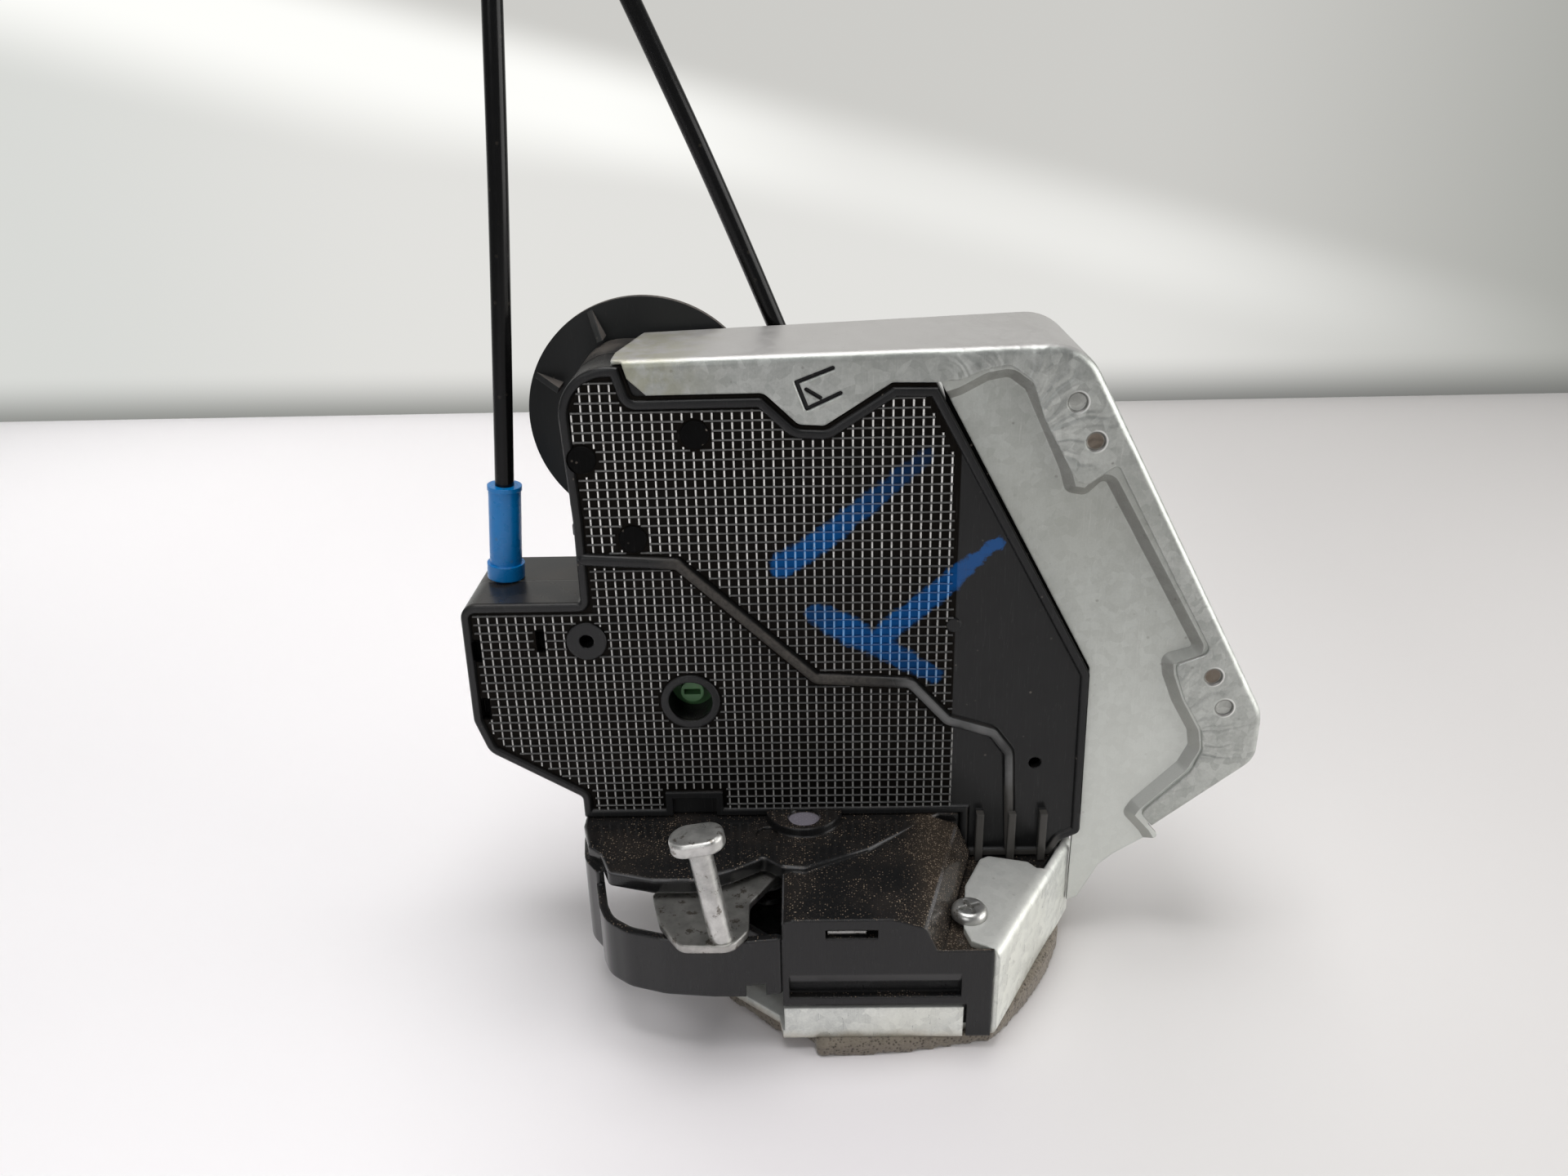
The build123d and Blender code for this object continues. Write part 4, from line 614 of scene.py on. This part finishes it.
def onWaffle(x, z):
    point = Vector((x, z))
    if not insideEdge(point, waffle["edge"]):
        return False
    if any((point - Vector(at)).length < radius for at, radius in waffle["holes"]):
        return False
    halfX, halfZ = waffle["slotHalf"]
    if any(abs(x - slotX) < halfX and abs(z - slotZ) < halfZ for slotX, slotZ in waffle["slots"]):
        return False
    left, right, low, high = waffle["notch"]
    if left < x < right and low < z < high:
        return False
    return nearLine(point, waffle["ridge"]) > waffle["ridgeHalf"]


def ribLines(upright):                        # straight edges along the ribs of one way
    lines = bmesh.new()
    pitch = waffle["pitch"]
    first, count = ("firstColumn", "columns") if upright else ("firstRow", "rows")
    low, high = waffle["reachZ"] if upright else waffle["reachX"]
    steps = int((high - low) / (pitch / waffle["stepsPerPitch"]))
    for line in range(waffle[count]):
        fixed = waffle[first] + pitch * line
        last = None
        for n in range(steps + 1):
            moving = low + n * pitch / waffle["stepsPerPitch"]
            x, z = (fixed, moving) if upright else (moving, fixed)
            vert = None
            if onWaffle(x, z):
                vert = lines.verts.new((x * mm, waffle["back"] * mm, z * mm))
                if last:
                    lines.edges.new((last, vert))
            last = vert
    mesh = bpy.data.meshes.new("ribLines")
    lines.to_mesh(mesh)
    lines.free()
    return mesh


def ribTree():                                # oval rib profile swept along every line
    tree = bpy.data.node_groups.new("ribTree", "GeometryNodeTree")
    for name, kind, way in (("Geometry", "Geometry", "INPUT"), ("Width", "Float", "INPUT"),
                            ("Height", "Float", "INPUT"), ("Finish", "Material", "INPUT"),
                            ("Geometry", "Geometry", "OUTPUT")):
        tree.interface.new_socket(name, in_out=way, socket_type="NodeSocket" + kind)

    def add(kind, inputs=None, settings=None):
        node = tree.nodes.new(kind)
        for key, value in (settings or {}).items():
            setattr(node, key, value)
        for key, value in (inputs or {}).items():
            if isinstance(value, bpy.types.NodeSocket):
                tree.links.new(value, node.inputs[key])
            else:
                node.inputs[key].default_value = value
        return node.outputs[0]

    given = tree.nodes.new("NodeGroupInput").outputs
    paths = add("GeometryNodeMeshToCurve", {"Mesh": given["Geometry"]})
    straight = add("GeometryNodeSetCurveNormal", {"Curve": paths, "Normal": (0, -1, 0)},
                   {"mode": "FREE"})
    ring = add("GeometryNodeCurvePrimitiveCircle", {"Resolution": 8, "Radius": 0.5})
    shape = add("ShaderNodeCombineXYZ", {"X": given["Height"], "Y": given["Width"], "Z": 1.0})
    oval = add("GeometryNodeTransform", {"Geometry": ring, "Scale": shape})
    ribs = add("GeometryNodeCurveToMesh", {
        "Curve": straight, "Profile Curve": oval, "Fill Caps": True})
    solid = add("GeometryNodeRealizeInstances", {"Geometry": ribs})
    smooth = add("GeometryNodeSetShadeSmooth", {"Geometry": solid})
    dressed = add("GeometryNodeSetMaterial", {"Geometry": smooth, "Material": given["Finish"]})
    grown = tree.nodes.new("NodeGroupOutput")
    tree.links.new(dressed, grown.inputs["Geometry"])
    return tree


def grownMesh(name, base, tree, inputs):      # runs a tree on a mesh and keeps the plain result
    holder = inScene(name + "_seed", base)
    modifier = holder.modifiers.new("grow", "NODES")
    modifier.node_group = tree
    for item in tree.interface.items_tree:
        if item.item_type == "SOCKET" and item.in_out == "INPUT" and item.name in inputs:
            modifier[item.identifier] = inputs[item.name]
    evaluated = holder.evaluated_get(bpy.context.evaluated_depsgraph_get())
    mesh = bpy.data.meshes.new_from_object(evaluated)
    holder.modifiers.clear()
    bpy.data.objects.remove(holder)
    mesh.name = name
    return mesh


ribLooks = {                                  # width and height in mm; dim is the ribs' own black, bright is a painted highlight on their crowns, and paint is the marker colour, painted lighter on the upright ribs as a highlight
    "upright": {"dim": (0.032, 0.032, 0.031), "bright": (0.95, 0.94, 0.91), "width": 0.66,
                "height": 1.08, "shine": 0.9, "polish": 0.6, "paint": (0.06, 0.32, 0.75),
                "paintedDashes": True},
    "level": {"dim": (0.022, 0.022, 0.022), "bright": (0.105, 0.104, 0.101), "width": 0.54,
              "height": 1.28, "shine": 0.5, "polish": 0.0, "paint": (0.004, 0.08, 0.27)},
}


def ribFinish(name, look):
    bench = Bench(name)
    # painted highlight: the ribs are lighter towards the left and the top
    paintedHighlightReach = 0.34 + 0.22 * bench.x.fall(-70, -10) + 0.70 * bench.z.step(92, 155)
    patchy = bench.noise(0.0022, 3.0, 0.7).step(0.30, 0.62)
    cloud = bench.noise(0.012, 4.0)
    share = (paintedHighlightReach * (0.55 + 0.45 * patchy) * (0.8 + 0.8 * (cloud - 0.2))).clamped()
    if look.get("paintedDashes"):                    # the painted highlight breaks where the level ribs cross and stays on the front of each upright rib
        turns = (bench.z - waffle["firstRow"]) / waffle["pitch"] + 40.5
        place = bench.maths("FRACT", turns)
        paintedHighlightCore = (bench.side + 0.12).near(0.55, 0.95)
        share = share * (place - 0.5).size().step(0.10, 0.22) * paintedHighlightCore
    # painted highlight: the ribs' own dark tone blended towards a bright one
    bench.colour = bench.blend(share, look["dim"], look["bright"])
    bench.tint(specks(bench, 0.0012, 0.05) * 0.6, (0.26, 0.23, 0.20))
    bench.tint(painted(bench) * (0.55 + 0.4 * (1.0 - share)), look["paint"])
    bench.rough = 0.26 + 0.2 * (cloud - 0.5)
    bench.metal = share * look["polish"]
    normal = bench.bump(bench.noise(0.0009, 3.0), 0.05 * mm, None, 0.7)
    return bench.finish(normal, Specular_IOR_Level=look["shine"])


sharedTree = ribTree()
for way, look in ribLooks.items():
    name = way + "_ribs"
    mesh = grownMesh(name, ribLines(way == "upright"), sharedTree, {
        "Width": look["width"] * mm, "Height": look["height"] * mm,
        "Finish": ribFinish("plastic_" + name, look)})
    piece = inScene(name, mesh)
    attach(piece, "latch")
    print(name, len(mesh.polygons), "faces")

hooks = {                                     # two small hooks on the left side of the case, mm
    "at": [(-72.0, 4.6, 135.0), (-72.0, 4.6, 127.3)], "size": (3.2, 3.4, 3.2), "bevel": 0.5,
}


def hookMesh():
    work = bmesh.new()
    shape = Matrix.Diagonal([v * mm for v in hooks["size"]] + [1])
    for at in hooks["at"]:
        place = Matrix.Translation([v * mm for v in at]) @ shape
        made = bmesh.ops.create_cube(work, size=1.0, matrix=place)
        edges = {edge for vert in made["verts"] for edge in vert.link_edges}
        bmesh.ops.bevel(work, geom=list(edges), offset=hooks["bevel"] * mm, segments=3,
                        profile=0.5, affect="EDGES")
    return closedMesh("side_hooks", work)


meshPiece("side_hooks", hookMesh(), plastics["small"])

seam = {                                      # dark seam between the case and the sheet, mm
    "line": [(59.3, 43.5), (58.5, 86.4), (19.8, 158.2), (18.6, 163.0)],
    "inner": 0.9, "outer": 1.7, "front": 4.75, "back": 5.5,
}


def seamMesh():
    line = [Vector(at) for at in seam["line"]]
    work = bmesh.new()
    rings = []
    for index, at in enumerate(line):
        before, after = line[max(index - 1, 0)], line[min(index + 1, len(line) - 1)]
        run = (after - before).normalized()
        out = Vector((run.y, -run.x))
        near, far = at - out * seam["inner"], at + out * seam["outer"]
        corners = [(near, seam["front"]), (far, seam["front"]),
                   (far, seam["back"]), (near, seam["back"])]
        rings.append([work.verts.new((spot.x * mm, depth * mm, spot.y * mm))
                      for spot, depth in corners])
    for low, high in zip(rings, rings[1:]):
        for side in range(4):
            after = (side + 1) % 4
            work.faces.new((low[side], low[after], high[after], high[side]))
    work.faces.new(rings[0])
    work.faces.new(rings[-1])
    return closedMesh("case_seam", work)


meshPiece("case_seam", seamMesh(), plastics["matt"])

foamLook = {                                  # mm, apart from turns, crumbs (frequency) and seed
    "voxel": 0.9, "wobble": 0.22, "turns": 2, "weld": 0.002, "crumbs": 700, "seed": 7,
}
noise.seed_set(foamLook["seed"])              # without it the crumbs differ on every run
foamBulge = {                                 # squeezed out along one edge of the pad, mm
    "edge": [(30.6, -38.6), (55.6, 9.5)], "reach": 4.0, "out": 3.2, "up": 3.0, "thick": 4,
    "roundness": 0.8,
}


def mergedCopy(node):
    mesh = nodes[node].data.copy()
    work = bmesh.new()
    work.from_mesh(mesh)
    bmesh.ops.remove_doubles(work, verts=work.verts, dist=foamLook["weld"] * mm)
    work.to_mesh(mesh)
    work.free()
    return mesh


def squeeze(vert, bulge):                     # pushes a vertex out, most at the middle of the edge
    start, end = (Vector((*(v * mm for v in at), 0)) for at in bulge["edge"])
    run = end - start
    along = (vert.co - start).dot(run) / run.length_squared
    outward = Vector((run.y, -run.x, 0)).normalized()
    inside = -(vert.co - start).dot(outward) / mm
    if 0 < along < 1 and inside < bulge["reach"]:
        share = math.sin(math.pi * along) ** bulge["roundness"]
        share *= 1 - max(inside, 0) / bulge["reach"]
        vert.co += outward * bulge["out"] * mm * share
        vert.co.z += bulge["up"] * mm * share * (vert.co.z / (bulge["thick"] * mm))


def foamPiece(name, node, bulge=None):
    piece = inScene(name, mergedCopy(node))
    remesh = piece.modifiers.new("remesh", "REMESH")
    remesh.mode = "VOXEL"
    remesh.voxel_size = foamLook["voxel"] * mm
    rounding = piece.modifiers.new("rounding", "SMOOTH")
    rounding.factor, rounding.iterations = 0.5, foamLook["turns"]
    evaluated = piece.evaluated_get(bpy.context.evaluated_depsgraph_get())
    soft = bpy.data.meshes.new_from_object(evaluated)
    piece.modifiers.clear()
    piece.data = soft
    low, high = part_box(node)
    for vert in soft.vertices:                # crumbly surface that stays inside the solid's box
        crumb = noise.noise_vector(vert.co * foamLook["crumbs"]) * foamLook["wobble"] * mm
        moved = vert.co + crumb
        vert.co = [min(max(moved[n], low[n]), high[n]) for n in range(3)]
        if bulge:
            squeeze(vert, bulge)
    for face in soft.polygons:
        face.use_smooth = True
    wear(piece, foamMaterial)
    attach(piece, "latch")
    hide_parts(node)


foamPiece("base_foam", "foam_pad", foamBulge)
foamPiece("disc_foam", "disc_seal")
print("foam done")


def stageFinish(name, build, glows):          # glows: the camera and reflections see plain colour
    bench = Bench(name)
    colour, rough = build(bench)
    surface = bench.put("BsdfPrincipled", None, {"Base Color": colour, "Roughness": rough})
    if glows:
        seen = bench.put("LightPath", out="Is Camera Ray")
        seen = seen.higher(bench.put("LightPath", out="Is Glossy Ray"))
        glow = bench.put("Emission", None, {"Color": colour})
        surface = bench.put("MixShader", None, {0: seen, 1: surface, 2: glow})
    return bench.shown(surface)


ground = {                                # painted shade: the floor gets darker to the right; bands along x in mm: from, to, tone reached
    "start": (0.95, 0.925, 0.94), "rough": 0.42,
    "bands": [(-140, -10, (0.78, 0.75, 0.765)), (-10, 80, (0.73, 0.71, 0.705)),
              (100, 260, (0.665, 0.645, 0.64))],
}


def floorLook(bench):
    tone = ground["start"]
    for low, high, reached in ground["bands"]:
        tone = bench.blend(bench.x.step(low, high), tone, reached)
    return tone, ground["rough"]


board = {
    "underLeft": (0.69, 0.70, 0.675), "under": (0.765, 0.76, 0.735), "above": (0.61, 0.605, 0.58),
    "light": (1.0, 1.0, 0.97), "right": (0.36, 0.365, 0.34),
    "foot": (0.23, 0.235, 0.22), "footRight": (0.155, 0.158, 0.15), "rough": 0.6,
    "bandHeight": 169, "bandSlope": 0.262, "bandTop": 45, "bandUnder": 35,    # mm
}


def wallLook(bench):                          # a pale board with a painted slanting band of window light, and painted shade that darkens it to the right and at its foot
    x, z = bench.x, bench.z
    above = z - (board["bandHeight"] - board["bandSlope"] * x)
    under = bench.blend(x.step(-600, -250), board["underLeft"], board["under"])
    bench.colour = bench.blend(above.step(-10, 50), under, board["above"])
    reach = board["bandTop"] + board["bandUnder"] * x.fall(-350, -50)
    lower = (above * -1.0).higher(0.0) / reach
    away = (above.higher(0.0) / board["bandTop"]).higher(lower)
    bench.tint(away.fall(0.15, 1.0) * (1.0 - 0.7 * x.step(-160, 40)), board["light"])
    # painted shade: darker to the right, and along the foot of the board
    bench.tint(x.step(180, 640), board["right"])
    foot = bench.blend(x.step(0, 350), board["foot"], board["footRight"])
    bench.tint(z.fall(-10, 35), foot)
    return bench.colour, board["rough"]


def plane(name, corners, material):
    mesh = bpy.data.meshes.new(name)
    mesh.from_pydata(corners, [], [tuple(range(len(corners)))])
    piece = inScene(name, mesh)
    wear(piece, material)


room = {"left": -1.6, "right": 1.6, "near": -1.4, "far": 0.59, "top": 1.6}    # metres
left, right, near, far, top = room.values()
plane("floor", [(left, near, 0), (right, near, 0), (right, far, 0), (left, far, 0)],
      stageFinish("stage_floor", floorLook, False))
plane("backdrop", [(left, far, 0), (right, far, 0), (right, far, top), (left, far, top)],
      stageFinish("stage_wall", wallLook, True))

lamps = [                                     # name, place, aimed at, width, power, colour
    ("top_lamp", (-0.05, 0.02, 0.95), (0, 0, 0.08), 0.6, 6.0, (1, 1, 1)),
    ("right_lamp", (0.85, -0.10, 0.24), (0.03, 0, 0.1), 0.75, 6.0, (1, 0.99, 0.97)),
    ("far_lamp", (-0.52, 0.42, 0.35), (-0.52, 0.421, 0), 0.3, 0.42, (1, 1, 1)),
    ("front_lamp", (-0.45, -0.9, 0.55), (0, 0, 0.08), 0.5, 1.8, (1, 1, 1)),
]
for name, at, aim, wide, power, colour in lamps:
    data = bpy.data.lights.new(name, "AREA")
    data.shape = "SQUARE"
    data.size, data.energy, data.color = wide, power, colour
    lamp = inScene(name, data)
    lamp.location = at
    lamp.visible_camera = False
    lamp.visible_glossy = name != "far_lamp"
    lamp.rotation_euler = (Vector(aim) - Vector(at)).to_track_quat("-Z", "Y").to_euler()

sky = {"colour": (0.85, 0.86, 0.87, 1), "strength": 0.27}
world = bpy.data.worlds.new("world")
world.use_nodes = True
background = world.node_tree.nodes["Background"]
background.inputs[0].default_value = sky["colour"]
background.inputs[1].default_value = sky["strength"]
bpy.context.scene.world = world
bpy.context.scene.view_settings.view_transform = "Standard"
print("stage and lamps ready")
